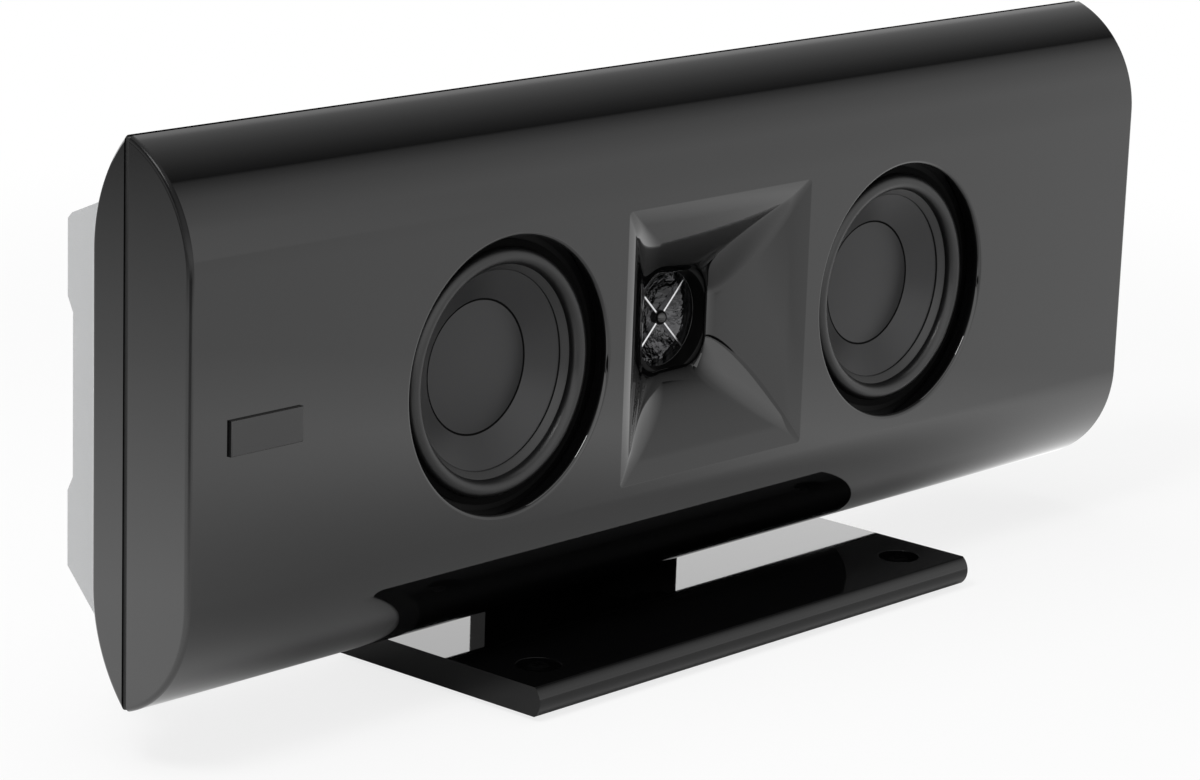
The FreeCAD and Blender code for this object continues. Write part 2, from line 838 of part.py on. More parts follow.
def terminal_cap(x):
    """Fluted thumb nut on the stud."""
    front = collar_top + cap_clearance
    back = front + cap_length
    bore = post_radius + cap_clearance
    cap = turned([
        (bore, front),
        (cap_radius, front),
        (cap_radius, back - cap_bevel),
        (cap_radius - cap_bevel, back),
        (bore, back),
    ], x, axis_height)
    cuts = []
    for index in range(cap_flutes):
        angle = 2 * math.pi * index / cap_flutes
        flute_x, flute_z = x + cap_radius * math.cos(angle), axis_height + cap_radius * math.sin(angle)
        cuts.append(rod(flute_x, flute_z, cap_flute_radius, front + cap_bevel, back + overrun))
    return cap.cut(cuts)


def board_posts():
    reach_x = board_length / 2 - board_post_radius - board_post_edge
    reach_z = board_height / 2 - board_post_radius - board_post_edge
    for x in (-reach_x, reach_x):
        for z in (-reach_z, reach_z):
            yield board_centre + x, axis_height + z


def crossover_board():
    board = block(board_centre, axis_height, board_length, board_height, board_front, board_back)
    start, end = board_front - overrun, board_back + overrun
    return board.cut([screw_hole(board_screw, x, z, start, end) for x, z in board_posts()])


def crossover_inductors():
    """Wound coils that stand on the board."""
    x = board_centre - inductor_radius
    start = board_front - inductor_height
    for z in (axis_height - inductor_spread, axis_height + inductor_spread):
        coil = rod(x, z, inductor_radius, start, board_front)
        yield coil.cut(rod(x, z, inductor_bore_radius, start - overrun, board_front + overrun))


def crossover_capacitors():
    """Round capacitors that lie on the board, each on a moulded base."""
    for z in (axis_height - capacitor_spread, axis_height, axis_height + capacitor_spread):
        start = vec(board_centre + capacitor_offset - capacitor_length / 2, board_front - capacitor_radius, z)
        body = Part.makeCylinder(capacitor_radius, capacitor_length, start, vec(1, 0, 0))
        base = block(board_centre + capacitor_offset, z, capacitor_length, capacitor_radius,
                     board_front - capacitor_radius, board_front)
        yield body.fuse(base).removeSplitter()


def board_screws():
    shank, head, height = board_screw
    for x, z in board_posts():
        stem = rod(x, z, shank, board_front, box_inside - board_screw_spare)
        yield rod(x, z, head, board_front - height, board_front).fuse(stem).removeSplitter()


def hanger_places():
    return (-hanger_centre_x, hanger_centre_x)


def hanger_plate(x):
    """Steel keyhole plate, flush with the upper wall pad."""
    front = box_back - hanger_thickness
    plate = block(x, hanger_centre, hanger_length, hanger_height, front, box_back)
    start, end = front - overrun, box_back + overrun
    low, high = hanger_centre - keyslot_rise / 2, hanger_centre + keyslot_rise / 2
    slot = block(x, hanger_centre, 2 * keyslot_radius, keyslot_rise, start, end)
    keyhole = rod(x, low, keyhole_radius, start, end).fuse([slot, rod(x, high, keyslot_radius, start, end)])
    return plate.cut(keyhole)


def foot_places():
    """The two feet under the plate's front corners, and then the two at its back."""
    for y in (stand_front + stand_hole_inset, stand_back - stand_hole_inset):
        for x in (-stand_hole_spacing / 2, stand_hole_spacing / 2):
            yield x, y


def front_foot_places():
    return list(foot_places())[:2]


def upright_screw_places():
    for x in (-upright_screw_spacing / 2, upright_screw_spacing / 2):
        yield x, stand_back - upright_thickness / 2


def bracket_screw_places():
    for x in (-upright_screw_spacing / 2, upright_screw_spacing / 2):
        yield x, stand_back - upright_thickness - (upright_flange_reach - upright_thickness) / 2


def stand_base():
    """Thick flat plate with a bulging front edge, and a recessed screw hole over each front foot."""
    nose = stand_front + stand_nose_bulge
    middle = (foot_height + stand_top) / 2
    k = arc_inset(stand_edge_round)
    plate = along_x([
        (nose, stand_top),
        (stand_back - stand_edge_round, stand_top),
        ((stand_back - k, stand_top - k), (stand_back, stand_top - stand_edge_round)),
        (stand_back, foot_height),
        (nose, foot_height),
        ((stand_front, middle), (nose, stand_top)),
    ], stand_length)
    below, above = foot_height - overrun, stand_top + overrun
    holes = []
    for x, y in front_foot_places():
        holes.append(upright_hole(flat_screw, x, y, below, above))
        holes.append(pin(x, y, stand_recess_radius, stand_top - stand_recess_depth, above))
    for x, y in upright_screw_places():
        holes.append(upright_hole(large_screw, x, y, below, above))
        holes.append(pin(x, y, large_screw[1] + screw_clearance, below, upright_seat))
    return plate.cut(holes)


def stand_upright():
    """Bracket that rises from the back of the plate and carries the back box on a flange."""
    flange_front = stand_back - upright_flange_reach
    flange_bottom = bracket_top - upright_flange_thickness
    bracket = along_x([
        (stand_back, stand_top),
        (stand_back, bracket_top),
        (flange_front, bracket_top),
        (flange_front, flange_bottom),
        (stand_back - upright_thickness, flange_bottom),
        (stand_back - upright_thickness, stand_top),
    ], upright_length)
    corner = [e for e in bracket.Edges if e.Length > upright_length / 2
              and abs(e.CenterOfMass.y - stand_back + upright_thickness) < upright_inner_round / 2
              and abs(e.CenterOfMass.z - flange_bottom) < upright_inner_round / 2]
    bracket = bracket.makeFillet(upright_inner_round, corner)
    holes = []
    for x, y in upright_screw_places():
        holes.append(upright_hole(large_screw, x, y, stand_top - overrun, stand_top + upright_screw_grip))
    for x, y in bracket_screw_places():
        holes.append(upright_hole(small_screw, x, y, flange_bottom - overrun, bracket_top + overrun))
    return bracket.cut(holes)


def stand_foot(x, y):
    """Round rubber pad with a bevelled lower edge."""
    foot = pin(x, y, foot_radius, 0, foot_height)
    lower = [e for e in foot.Edges if e.CenterOfMass.z < touch]
    foot = foot.makeChamfer(foot_bevel, lower)
    if (x, y) in front_foot_places():
        foot = foot.cut(upright_hole(flat_screw, x, y, foot_height - foot_bore_depth, foot_height))
    return foot


def upward_screw(size, x, y, seat, grip):
    """A screw driven upwards: its head lies below the seat."""
    shank, head, height = size
    return pin(x, y, head, seat - height, seat).fuse(pin(x, y, shank, seat, seat + grip)).removeSplitter()


def foot_screw(x, y):
    """A screw driven down through the plate into a foot."""
    shank, head, height = flat_screw
    seat = stand_top - stand_recess_depth
    stem = pin(x, y, shank, foot_height - foot_bore_depth + foot_screw_spare, seat)
    return pin(x, y, head, seat, seat + height).fuse(stem).removeSplitter()


os.makedirs("parts", exist_ok=True)

save("front_shell", front_shell())
save("rear_shell", rear_shell())
save("joint_gasket", joint_gasket())
save("back_box", back_box())
save("badge_plate", badge())
length = joint_width + case_screw_seat + case_screw_grip
save("case_screws", *[screw(small_screw, x, z, case_screw_depth, length) for x, z in case_screw_places()])
seat = box_face - small_screw[2]
save("box_screws", *[screw(small_screw, x, z, seat, box_screw_length) for x, z in box_screw_places()])

seat = frame_front + frame_flange_thickness
length = frame_flange_thickness + driver_screw_grip
for side, x in (("left", -woofer_centre), ("right", woofer_centre)):
    save(f"woofer_frame_{side}", woofer_frame(x))
    save(f"woofer_surround_{side}", woofer_surround(x))
    save(f"woofer_cone_{side}", woofer_cone(x))
    save(f"woofer_dust_cap_{side}", woofer_dust_cap(x))
    save(f"woofer_coil_{side}", woofer_coil(x))
    save(f"woofer_spider_{side}", woofer_spider(x))
    save(f"woofer_top_plate_{side}", woofer_top_plate(x))
    save(f"woofer_magnet_{side}", woofer_magnet(x))
    save(f"woofer_yoke_{side}", woofer_yoke(x))
    save(f"woofer_screws_{side}", *[screw(small_screw, sx, sz, seat, length) for sx, sz in driver_screws(x)])

save("horn_driver_plate", horn_driver_plate())
save("horn_phase_plug", horn_phase_plug())
save("horn_dome", horn_dome())
save("horn_magnet", horn_magnet())
save("horn_driver_cap", horn_driver_cap())
length = driver_plate_thickness + driver_screw_grip
save("horn_screws", *[screw(small_screw, x, z, plate_back, length) for x, z in horn_driver_screws()])

save("terminal_cup", terminal_cup())
for sign, x in post_places().items():
    save(f"terminal_post_{sign}", terminal_post(x))
    save(f"terminal_cap_{sign}", terminal_cap(x))
seat = box_face + cup_flange_thickness
length = cup_flange_thickness + cup_screw_grip
save("cup_screws", *[screw(cup_screw, x, z, seat, length) for x, z in cup_screw_places()])

save("crossover_board", crossover_board())
save("crossover_inductors", *crossover_inductors())
save("crossover_capacitors", *crossover_capacitors())
save("board_screws", *board_screws())

for side, x in zip(("left", "right"), hanger_places()):
    save(f"hanger_plate_{side}", hanger_plate(x))

save("stand_base", stand_base())
save("stand_upright", stand_upright())
save("stand_feet", *[stand_foot(x, y) for x, y in foot_places()])
save("foot_screws", *[foot_screw(x, y) for x, y in front_foot_places()])
grip = stand_top - upright_seat + upright_screw_grip - upright_screw_spare
screws = [upward_screw(large_screw, x, y, upright_seat, grip) for x, y in upright_screw_places()]
save("upright_screws", *screws)
seat = bracket_top - upright_flange_thickness
grip = upright_flange_thickness + bracket_screw_grip - upright_screw_spare
save("bracket_screws", *[upward_screw(small_screw, x, y, seat, grip) for x, y in bracket_screw_places()])
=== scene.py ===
import bmesh
import bpy
import math
from mathutils import Matrix, Vector
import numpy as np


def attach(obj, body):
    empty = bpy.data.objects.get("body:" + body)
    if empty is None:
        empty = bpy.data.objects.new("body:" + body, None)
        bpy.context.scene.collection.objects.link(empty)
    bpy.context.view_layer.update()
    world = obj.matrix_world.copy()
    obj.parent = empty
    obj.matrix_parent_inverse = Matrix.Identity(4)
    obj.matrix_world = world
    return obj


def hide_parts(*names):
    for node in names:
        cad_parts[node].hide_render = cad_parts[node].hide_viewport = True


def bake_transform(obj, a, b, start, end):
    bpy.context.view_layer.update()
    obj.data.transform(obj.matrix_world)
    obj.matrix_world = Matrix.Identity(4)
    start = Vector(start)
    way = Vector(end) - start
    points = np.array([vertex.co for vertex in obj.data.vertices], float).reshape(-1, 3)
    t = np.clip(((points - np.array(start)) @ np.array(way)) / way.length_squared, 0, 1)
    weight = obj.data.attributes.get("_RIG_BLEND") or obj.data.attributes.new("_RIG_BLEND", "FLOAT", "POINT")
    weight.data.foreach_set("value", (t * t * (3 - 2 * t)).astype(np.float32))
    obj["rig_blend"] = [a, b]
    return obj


# A low loudspeaker on an L-shaped stand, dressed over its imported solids.
# The pieces are drawn in millimetres and brought to metres as each is made; the studio is in metres.
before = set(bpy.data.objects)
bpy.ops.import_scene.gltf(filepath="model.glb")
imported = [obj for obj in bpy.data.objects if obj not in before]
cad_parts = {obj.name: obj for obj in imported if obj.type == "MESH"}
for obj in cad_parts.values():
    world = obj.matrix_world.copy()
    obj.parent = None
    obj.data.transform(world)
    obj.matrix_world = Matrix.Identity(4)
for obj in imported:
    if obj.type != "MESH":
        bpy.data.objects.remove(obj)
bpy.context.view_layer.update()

# Front shell
# One gloss black moulding: the curved face with the woofers' openings, the end walls and the square horn.
# Screws from behind hold it to the rear shell. Its round end edges are satin, darker above the flat face as
# painted shade.
cabinet_length, cabinet_height, axis_height = 400.0, 149.4, 89.9
end_round, end_wall, past = 1.4, 4.0, 1.0
front_rim, front_depth, front_flat, baffle_wall = 4.0, 23.0, 42.0, 4.0
baffle_front = front_rim - front_depth
woofer_places = {"left": -84.5, "right": 84.5}
opening_radius, opening_lip = 39.4, 1.2
seat_radius, seat_rise = 43.4, 2.5
frame_front = baffle_front + baffle_wall + seat_rise
horn_half, horn_throat, horn_depth, horn_wall = 36.9, 14.0, 17.5, 2.2
mouth_corner, throat_corner, corner_swell = 1.2, 7.8, 20.0
horn_lip, horn_lip_share, lip_spacing_power = 2.5, 0.12, 1.5
horn_flare_power, horn_seat_radius = 1.38, 24.0
horn_back = baffle_front + horn_depth
arc_steps, edge_steps, opening_lip_steps = 48, 5, 6
horn_outer_steps, horn_lip_steps, horn_wall_steps = 16, 10, 40
per_metre, weld, sharp_angle = 1000.0, 0.0005, math.radians(35)

grain_tree = bpy.data.node_groups.new("surface_grain", "ShaderNodeTree")
grain_inputs = ("Scale", "Smoothest", "Roughest", "Bump")
for label in grain_inputs:
    grain_tree.interface.new_socket(label, in_out="INPUT", socket_type="NodeSocketFloat")
for label in ("Mask", "Roughness"):
    grain_tree.interface.new_socket(label, in_out="OUTPUT", socket_type="NodeSocketFloat")
grain_tree.interface.new_socket("Normal", in_out="OUTPUT", socket_type="NodeSocketVector")


def add(nodes, *kinds):
    """New shader nodes of the kinds named."""
    return [nodes.new(f"ShaderNode{kind}") for kind in kinds]


def preset(node, **values):
    """Sets inputs of a node by name, with a low line for each space."""
    for label, value in values.items():
        node.inputs[label.replace("_", " ")].default_value = value


def fill_grain_tree(tree):
    """Fine grain gives the bump, and broad smudges over it give the mask and the roughness."""
    nodes, links = tree.nodes, tree.links
    given, result = nodes.new("NodeGroupInput"), nodes.new("NodeGroupOutput")
    place, fine, broad, rough, bump = add(nodes, "TexCoord", "TexNoise", "TexNoise", "MapRange", "Bump")
    preset(fine, Detail=3.0)
    preset(broad, Detail=4.0, Scale=24.0)
    preset(rough, From_Min=0.3, From_Max=0.7)
    preset(bump, Distance=0.0002)
    for noise in (fine, broad):
        links.new(place.outputs["Object"], noise.inputs["Vector"])
    links.new(given.outputs["Scale"], fine.inputs["Scale"])
    links.new(broad.outputs["Fac"], rough.inputs["Value"])
    links.new(given.outputs["Smoothest"], rough.inputs["To Min"])
    links.new(given.outputs["Roughest"], rough.inputs["To Max"])
    links.new(fine.outputs["Fac"], bump.inputs["Height"])
    links.new(given.outputs["Bump"], bump.inputs["Strength"])
    links.new(broad.outputs["Fac"], result.inputs["Mask"])
    links.new(rough.outputs["Result"], result.inputs["Roughness"])
    links.new(bump.outputs["Normal"], result.inputs["Normal"])


fill_grain_tree(grain_tree)


def look(name, dark, light, roughness, grain, bump, **sockets):
    """A material whose colour and roughness drift between two values, with a fine grain."""
    material = bpy.data.materials.new(name)
    material.use_nodes = True
    nodes, links = material.node_tree.nodes, material.node_tree.links
    shader = nodes["Principled BSDF"]
    surface, mix = add(nodes, "Group", "Mix")
    surface.node_tree = grain_tree
    for label, value in zip(grain_inputs, (grain, *roughness, bump)):
        surface.inputs[label].default_value = value
    mix.data_type = "RGBA"
    first_colour, second_colour, mixed_colour = mix.inputs[6], mix.inputs[7], mix.outputs[2]
    first_colour.default_value = (*dark, 1.0)
    second_colour.default_value = (*light, 1.0)
    links.new(surface.outputs["Mask"], mix.inputs["Factor"])
    links.new(mixed_colour, shader.inputs["Base Color"])
    links.new(surface.outputs["Roughness"], shader.inputs["Roughness"])
    links.new(surface.outputs["Normal"], shader.inputs["Normal"])
    preset(shader, **sockets)
    return material


def finish_mesh(name, bm):
    """A closed mesh object in millimetres with its faces outwards."""
    bmesh.ops.remove_doubles(bm, verts=bm.verts, dist=weld)
    bmesh.ops.recalc_face_normals(bm, faces=bm.faces)
    mesh = bpy.data.meshes.new(name)
    bm.to_mesh(mesh)
    bm.free()
    obj = bpy.data.objects.new(name, mesh)
    bpy.context.scene.collection.objects.link(obj)
    return obj


def baked(obj):
    """The mesh that an object's modifiers make."""
    return bpy.data.meshes.new_from_object(obj.evaluated_get(bpy.context.evaluated_depsgraph_get()))


def piece(name, bm, material, body, *nodes):
    """Brings a mesh to metres, with true normals on its flats, and puts it in the place of CAD nodes."""
    obj = finish_mesh(name, bm)
    obj.data.transform(Matrix.Scale(1 / per_metre, 4))
    obj.data.shade_smooth()
    obj.data.set_sharp_from_angle(angle=sharp_angle)
    obj.data.materials.append(material)
    weigh = obj.modifiers.new("weigh", "WEIGHTED_NORMAL")
    weigh.keep_sharp = True
    obj.data = baked(obj)
    obj.modifiers.clear()
    obj.data.name = name
    if body:
        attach(obj, body)
    if nodes:
        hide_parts(*nodes)
    return obj


def combine(bm, tool, operation):
    """Joins one closed mesh to another, or takes it out of it."""
    body, other = finish_mesh("body", bm), finish_mesh("tool", tool)
    modifier = body.modifiers.new("combine", "BOOLEAN")
    modifier.object = other
    modifier.operation = operation
    modifier.solver = "EXACT"
    result = bmesh.new()
    result.from_mesh(baked(body))
    bpy.data.objects.remove(body)
    bpy.data.objects.remove(other)
    return result


def bridge(bm, a, b):
    """Joins two closed rings of as many points."""
    for i in range(len(a)):
        j = (i + 1) % len(a)
        bm.faces.new((a[i], a[j], b[j], b[i]))


def loft(rings):
    """A closed tube through rings of as many points."""
    bm = bmesh.new()
    loops = [[bm.verts.new(point) for point in ring] for ring in rings]
    for a, b in zip(loops, loops[1:]):
        bridge(bm, a, b)
    bm.faces.new(loops[0])
    bm.faces.new(loops[-1])
    return bm


def spin(bm, profile, x, z, steps=144):
    """Turns a closed outline of radius and depth about an axis along the depth."""
    turns = [2 * math.pi * k / steps for k in range(steps)]
    rings = []
    for radius, y in profile:
        points = [(x, y, z)]
        if radius:
            points = [(x + radius * math.cos(t), y, z + radius * math.sin(t)) for t in turns]
        rings.append([bm.verts.new(point) for point in points])
    for a, b in zip(rings, rings[1:] + rings[:1]):
        if len(a) == len(b) == steps:
            bridge(bm, a, b)
        elif len(a) != len(b):
            tip, rim = (a[0], b) if len(a) == 1 else (b[0], a)
            for i in range(steps):
                bm.faces.new((tip, rim[i], rim[(i + 1) % steps]))


def lens(rim, depth, flat, inset, way, beyond):
    """Half of the cabinet's section as depth and height, from the lower rim round to the upper rim."""
    rise = cabinet_height / 2 - flat
    radius = (depth * depth + rise * rise) / (2 * depth)
    reach = radius - inset
    last = math.acos((radius - depth) / reach)
    centre = rim + way * (depth - radius)
    turns = [last * k / arc_steps for k in range(arc_steps + 1)]
    upper = [(centre + way * reach * math.cos(t), flat + reach * math.sin(t)) for t in turns]
    if beyond:
        upper.append((rim - way * beyond, upper[-1][1]))
    lower = [(y, axis_height - z) for y, z in reversed(upper)]
    return lower + [(y, axis_height + z) for y, z in upper]


def quarter(steps):
    """Angles over a quarter turn."""
    return [math.pi / 2 * k / steps for k in range(steps + 1)]


def outer_block(rim, depth, flat, way):
    """One half of the cabinet as a full block with round end edges."""
    ends = []
    for t in quarter(edge_steps):
        ends.append((end_round * (1 - math.cos(t)) - cabinet_length / 2, end_round * (1 - math.sin(t))))
    ends += [(-x, inset) for x, inset in reversed(ends)]
    return loft([[(x, y, z) for y, z in lens(rim, depth, flat, inset, way, 0)] for x, inset in ends])


def hollow(rim, depth, flat, way, wall):
    """The space inside one half of the cabinet, open past its rim."""
    reach = cabinet_length / 2 - end_wall
    return loft([[(x, y, z) for y, z in lens(rim, depth, flat, wall, way, past)] for x in (-reach, reach)])


def rounded_square(half, corner, y, steps=12):
    """Points round an upright square with round corners, about the cabinet's axis."""
    points = []
    for turn in range(4):
        cx = (half - corner) * (1 if turn in (0, 3) else -1)
        cz = (half - corner) * (1 if turn in (0, 1) else -1)
        for step in range(steps + 1):
            angle = math.pi / 2 * (turn + step / steps)
            points.append((cx + corner * math.cos(angle), y, axis_height + cz + corner * math.sin(angle)))
    return points


def horn_ring(share, grow):
    """The horn's section at a share of its depth: a soft-lipped square, its corners fullest half-way."""
    half = horn_throat + (horn_half - horn_throat) * (1 - share) ** horn_flare_power
    half += horn_lip * max(0.0, 1 - share / horn_lip_share) ** 2
    corner = mouth_corner + (throat_corner - mouth_corner) * share + corner_swell * share * (1 - share)
    return rounded_square(half + grow, corner + grow, baffle_front + horn_depth * share)


def horn_outside():
    """The horn's outer wall, from inside the face to the round seat of its driver."""
    first, last = baffle_wall / 2 / horn_depth, 1 - horn_wall / horn_depth
    shares = [first + (last - first) * k / horn_outer_steps for k in range(horn_outer_steps + 1)]
    rings = [horn_ring(share, horn_wall) for share in shares]
    for y in (horn_back - horn_wall, horn_back):
        rings.append(rounded_square(horn_seat_radius, horn_seat_radius, y))
    return loft(rings)


def horn_inside():
    """The horn's air space, from before the mouth to past the throat, with close rings at the lip."""
    shares = [horn_lip_share * (k / horn_lip_steps) ** lip_spacing_power for k in range(horn_lip_steps)]
    for k in range(horn_wall_steps + 1):
        shares.append(horn_lip_share + (1 - horn_lip_share) * k / horn_wall_steps)
    rings = [horn_ring(share, 0) for share in shares]
    rings.insert(0, [(x, baffle_front - past, z) for x, y, z in rings[0]])
    rings.append([(x, horn_back + past, z) for x, y, z in rings[-1]])
    return loft(rings)


def front_cover():
    """The hollow block with the horn and the woofers' seats added, and then the ways through cut out."""
    bm = combine(outer_block(front_rim, front_depth, front_flat, -1),
                 hollow(front_rim, front_depth, front_flat, -1, baffle_wall), "DIFFERENCE")
    bm = combine(bm, horn_outside(), "UNION")
    start, inner = baffle_front + baffle_wall / 2, opening_radius - opening_lip
    seat = [(0, start), (seat_radius, start), (seat_radius, frame_front), (0, frame_front)]
    opening = [(0, baffle_front - past), (opening_radius, baffle_front - past)]
    for t in quarter(opening_lip_steps):
        depth = opening_lip * (1 - math.cos(t))
        opening.append((opening_radius - opening_lip * math.sin(t), baffle_front + depth))
    opening += [(inner, frame_front + past), (0, frame_front + past)]
    seats, openings = bmesh.new(), bmesh.new()
    for x in woofer_places.values():
        spin(seats, seat, x, axis_height)
        spin(openings, opening, x, axis_height)
    bm = combine(bm, seats, "UNION")
    bm = combine(bm, openings, "DIFFERENCE")
    return combine(bm, horn_inside(), "DIFFERENCE")


gloss_tones = (0.0014, 0.0014, 0.0015), (0.0022, 0.0022, 0.0023)
gloss_black = look("gloss_black", *gloss_tones, (0.02, 0.045), grain=700, bump=0.012)
front_piece = piece("front_cover", front_cover(), gloss_black, "cabinet", "front_shell")
satin_edge_painted_shade = look("satin_edge_painted_shade", *gloss_tones, (0.2, 0.28), grain=700, bump=0.012)
painted_shade_below, painted_shade_above, painted_shade_most, end_face = 8.0, 12.0, 0.75, 0.02


def paint_upper_edge_shade(material):
    """Darkens a material's reflection from about the top of the cabinet's flat face upwards, as painted
    shade.
    """
    nodes, links = material.node_tree.nodes, material.node_tree.links
    place, parts, fade = add(nodes, "TexCoord", "SeparateXYZ", "MapRange")
    flat_top = axis_height + front_flat
    preset(fade, From_Min=(flat_top - painted_shade_below) / per_metre, From_Max=(flat_top + painted_shade_above) / per_metre)
    preset(fade, To_Max=painted_shade_most)
    links.new(place.outputs["Object"], parts.inputs["Vector"])
    links.new(parts.outputs["Z"], fade.inputs["Value"])
    links.new(fade.outputs["Result"], nodes["Principled BSDF"].inputs["Metallic"])


# The round end edges take this satin material; its metallic fade is painted shade that darkens their upper
# part.
paint_upper_edge_shade(satin_edge_painted_shade)
front_piece.data.materials.append(satin_edge_painted_shade)
for face in front_piece.data.polygons:
    inset = cabinet_length / 2 - per_metre * abs(face.center.x)
    face.material_index = 1 if end_face < inset < end_round else 0

# Rear shell
# The shallower half, moulded in the same gloss black, with one wide opening behind the drivers.
# Screws in deep round wells hold it to the front shell's bosses.
rear_rim, rear_depth, rear_flat, rear_wall = 5.8, 12.2, 44.0, 3.0
rear_back = rear_rim + rear_depth
window_end, window_corner = 24.0, 8.0
boss_radius, well_radius, well_depth = 3.6, 2.85, 3.0
cad_weld = 0.001


def solids(node):
    """The two opposite corners of each separate solid of a CAD node, in millimetres."""
    bm = bmesh.new()
    bm.from_mesh(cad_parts[node].data)
    bmesh.ops.remove_doubles(bm, verts=bm.verts, dist=cad_weld / per_metre)
    left, corners = set(bm.verts), []
    while left:
        group, edge = set(), {left.pop()}
        while edge:
            group |= edge
            edge = {other for vert in edge for link in vert.link_edges for other in link.verts} - group
        left -= group
        spans = list(zip(*(vert.co for vert in group)))
        corners.append([per_metre * Vector([choose(span) for span in spans]) for choose in (min, max)])
    bm.free()
    return sorted(corners, key=lambda pair: tuple(pair[0]))


def rod(bm, x, z, radius, start, end):
    """A round bar along the depth."""
    spin(bm, [(0, start), (radius, start), (radius, end), (0, end)], x, z, steps=40)


def rear_cover():
    """The hollow block with its screw bosses, less the window and the screws' wells."""
    bm = combine(outer_block(rear_rim, rear_depth, rear_flat, 1),
                 hollow(rear_rim, rear_depth, rear_flat, 1, rear_wall), "DIFFERENCE")
    bosses, wells = bmesh.new(), bmesh.new()
    for low, high in solids("case_screws"):
        x, z = (low.x + high.x) / 2, (low.z + high.z) / 2
        rod(bosses, x, z, boss_radius, rear_rim + end_round, rear_rim + 2 * well_depth)
        rod(wells, x, z, well_radius, rear_rim + well_depth, rear_back + past)
    half = cabinet_length / 2 - window_end
    window = []
    for y in (rear_rim - past, rear_back + past):
        ring = rounded_square(rear_flat, window_corner, y)
        window.append([(x + math.copysign(half - rear_flat, x), y, z) for x, y, z in ring])
    bm = combine(bm, bosses, "UNION")
    bm = combine(bm, loft(window), "DIFFERENCE")
    return combine(bm, wells, "DIFFERENCE")


rear_piece = piece("rear_cover", rear_cover(), gloss_black, "cabinet", "rear_shell")

# Joint seal
# A dark matt strip of soft rubber between the two shells, with its edge a little below their surface.
# It is pressed tight as the shells are screwed together.
flat_angle, edge_angle = math.radians(0.5), math.radians(30)
seal_black = look("seal_black", (0.019, 0.019, 0.019), (0.025, 0.025, 0.025), (0.4, 0.55),
                  grain=2500, bump=0.1, Specular_IOR_Level=0.1)


def dressed(name, node, material, bevel, body="cabinet"):
    """A copy of a CAD node with its flats made whole and its edges softened."""
    bm = bmesh.new()
    bm.from_mesh(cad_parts[node].data)
    bm.transform(Matrix.Scale(per_metre, 4))
    bmesh.ops.remove_doubles(bm, verts=bm.verts, dist=cad_weld)
    bmesh.ops.dissolve_limit(bm, angle_limit=flat_angle, verts=bm.verts, edges=bm.edges)
    if bevel:
        bm.normal_update()
        edges = [e for e in bm.edges if len(e.link_faces) == 2 and e.calc_face_angle() > edge_angle]
        bmesh.ops.bevel(bm, geom=edges, offset=bevel, segments=3, profile=0.5, affect="EDGES",
                        clamp_overlap=True)
    return piece(name, bm, material, body, node)


dressed("seal", "joint_gasket", seal_black, bevel=0.05)

# Woofers
# Dark spun-metal cones with shallow glued dust caps, hung on rubber half-rolls and, behind, on cloth spiders.
# Both soft rings are glued to painted metal frames, which carry the magnets and are screwed on from behind.
roll_outer, roll_inner, roll_skin, roll_lip, roll_flange = 34.6, 29.8, 0.7, 2.1, 1.9
roll_front_steps, roll_back_steps = 20, 12
cone_edge, cone_inner, cone_slope, cone_wall, cone_setback = 29.6, 13.0, 0.523, 0.8, 1.4
cone_front = frame_front + cone_setback
cap_radius, cap_crown, cap_steps = 18.7, 1.0, 16
glue_gap, glue_width, glue_rise = 0.3, 0.32, 0.12
spider_held, spider_neck = 25.1, 14.1


def arc(start, middle, end, steps):
    """Points on the arc through three flat points, without the first."""
    (ax, ay), (bx, by), (cx, cy) = start, middle, end
    d = 2 * (ax * (by - cy) + bx * (cy - ay) + cx * (ay - by))
    ux = ((ax**2 + ay**2) * (by - cy) + (bx**2 + by**2) * (cy - ay) + (cx**2 + cy**2) * (ay - by)) / d
    uy = ((ax**2 + ay**2) * (cx - bx) + (bx**2 + by**2) * (ax - cx) + (cx**2 + cy**2) * (bx - ax)) / d
    radius = math.hypot(ax - ux, ay - uy)
    first, mid, last = (math.atan2(p[1] - uy, p[0] - ux) for p in (start, middle, end))
    full = 2 * math.pi
    sweep = (last - first) % full
    if (mid - first) % full > sweep:
        sweep -= full
    turns = [first + sweep * k / steps for k in range(1, steps + 1)]
    return [(ux + radius * math.cos(t), uy + radius * math.sin(t)) for t in turns]


def cone_at(radius):
    """Depth of the cone's face at a radius."""
    return cone_front + (cone_edge - radius) * cone_slope


def roll_section():
    """The surround's flange, its half-roll and the lip that is glued over the cone's edge."""
    middle, rise = (roll_outer + roll_inner) / 2, (roll_outer - roll_inner) / 2
    lip, rim = roll_inner - roll_lip, roll_outer + roll_flange
    lip_back, edge_back = cone_at(lip) - glue_gap, cone_at(roll_inner) - glue_gap
    lip_front = lip_back - roll_skin
    start, end = (roll_outer, frame_front - roll_skin), (roll_inner, edge_back - roll_skin)
    under = (roll_inner + roll_skin / 2, edge_back)
    points = [(rim, frame_front), (rim, frame_front - roll_skin), start]
    points += arc(start, (middle, frame_front - rise - roll_skin), end, roll_front_steps)
    points += [(lip + glue_gap, lip_front), (lip, lip_front + glue_gap), (lip, lip_back), under]
    held = (roll_outer - roll_skin / 2, frame_front)
    return points + arc(under, (middle, frame_front - rise), held, roll_back_steps)


def cap_section():
    """The dust cap: a shallow dome of even thickness."""
    top, rim = cone_at(cap_radius) - cap_crown, cap_radius - cone_wall
    sphere = (cap_radius**2 + cap_crown**2) / (2 * cap_crown)
    reach = [cap_radius * k / cap_steps for k in range(cap_steps + 1)]
    points = [(r, top + sphere - math.sqrt(sphere**2 - r**2)) for r in reach]
    return points + [(rim, cone_at(rim)), (0, top + cone_wall)]


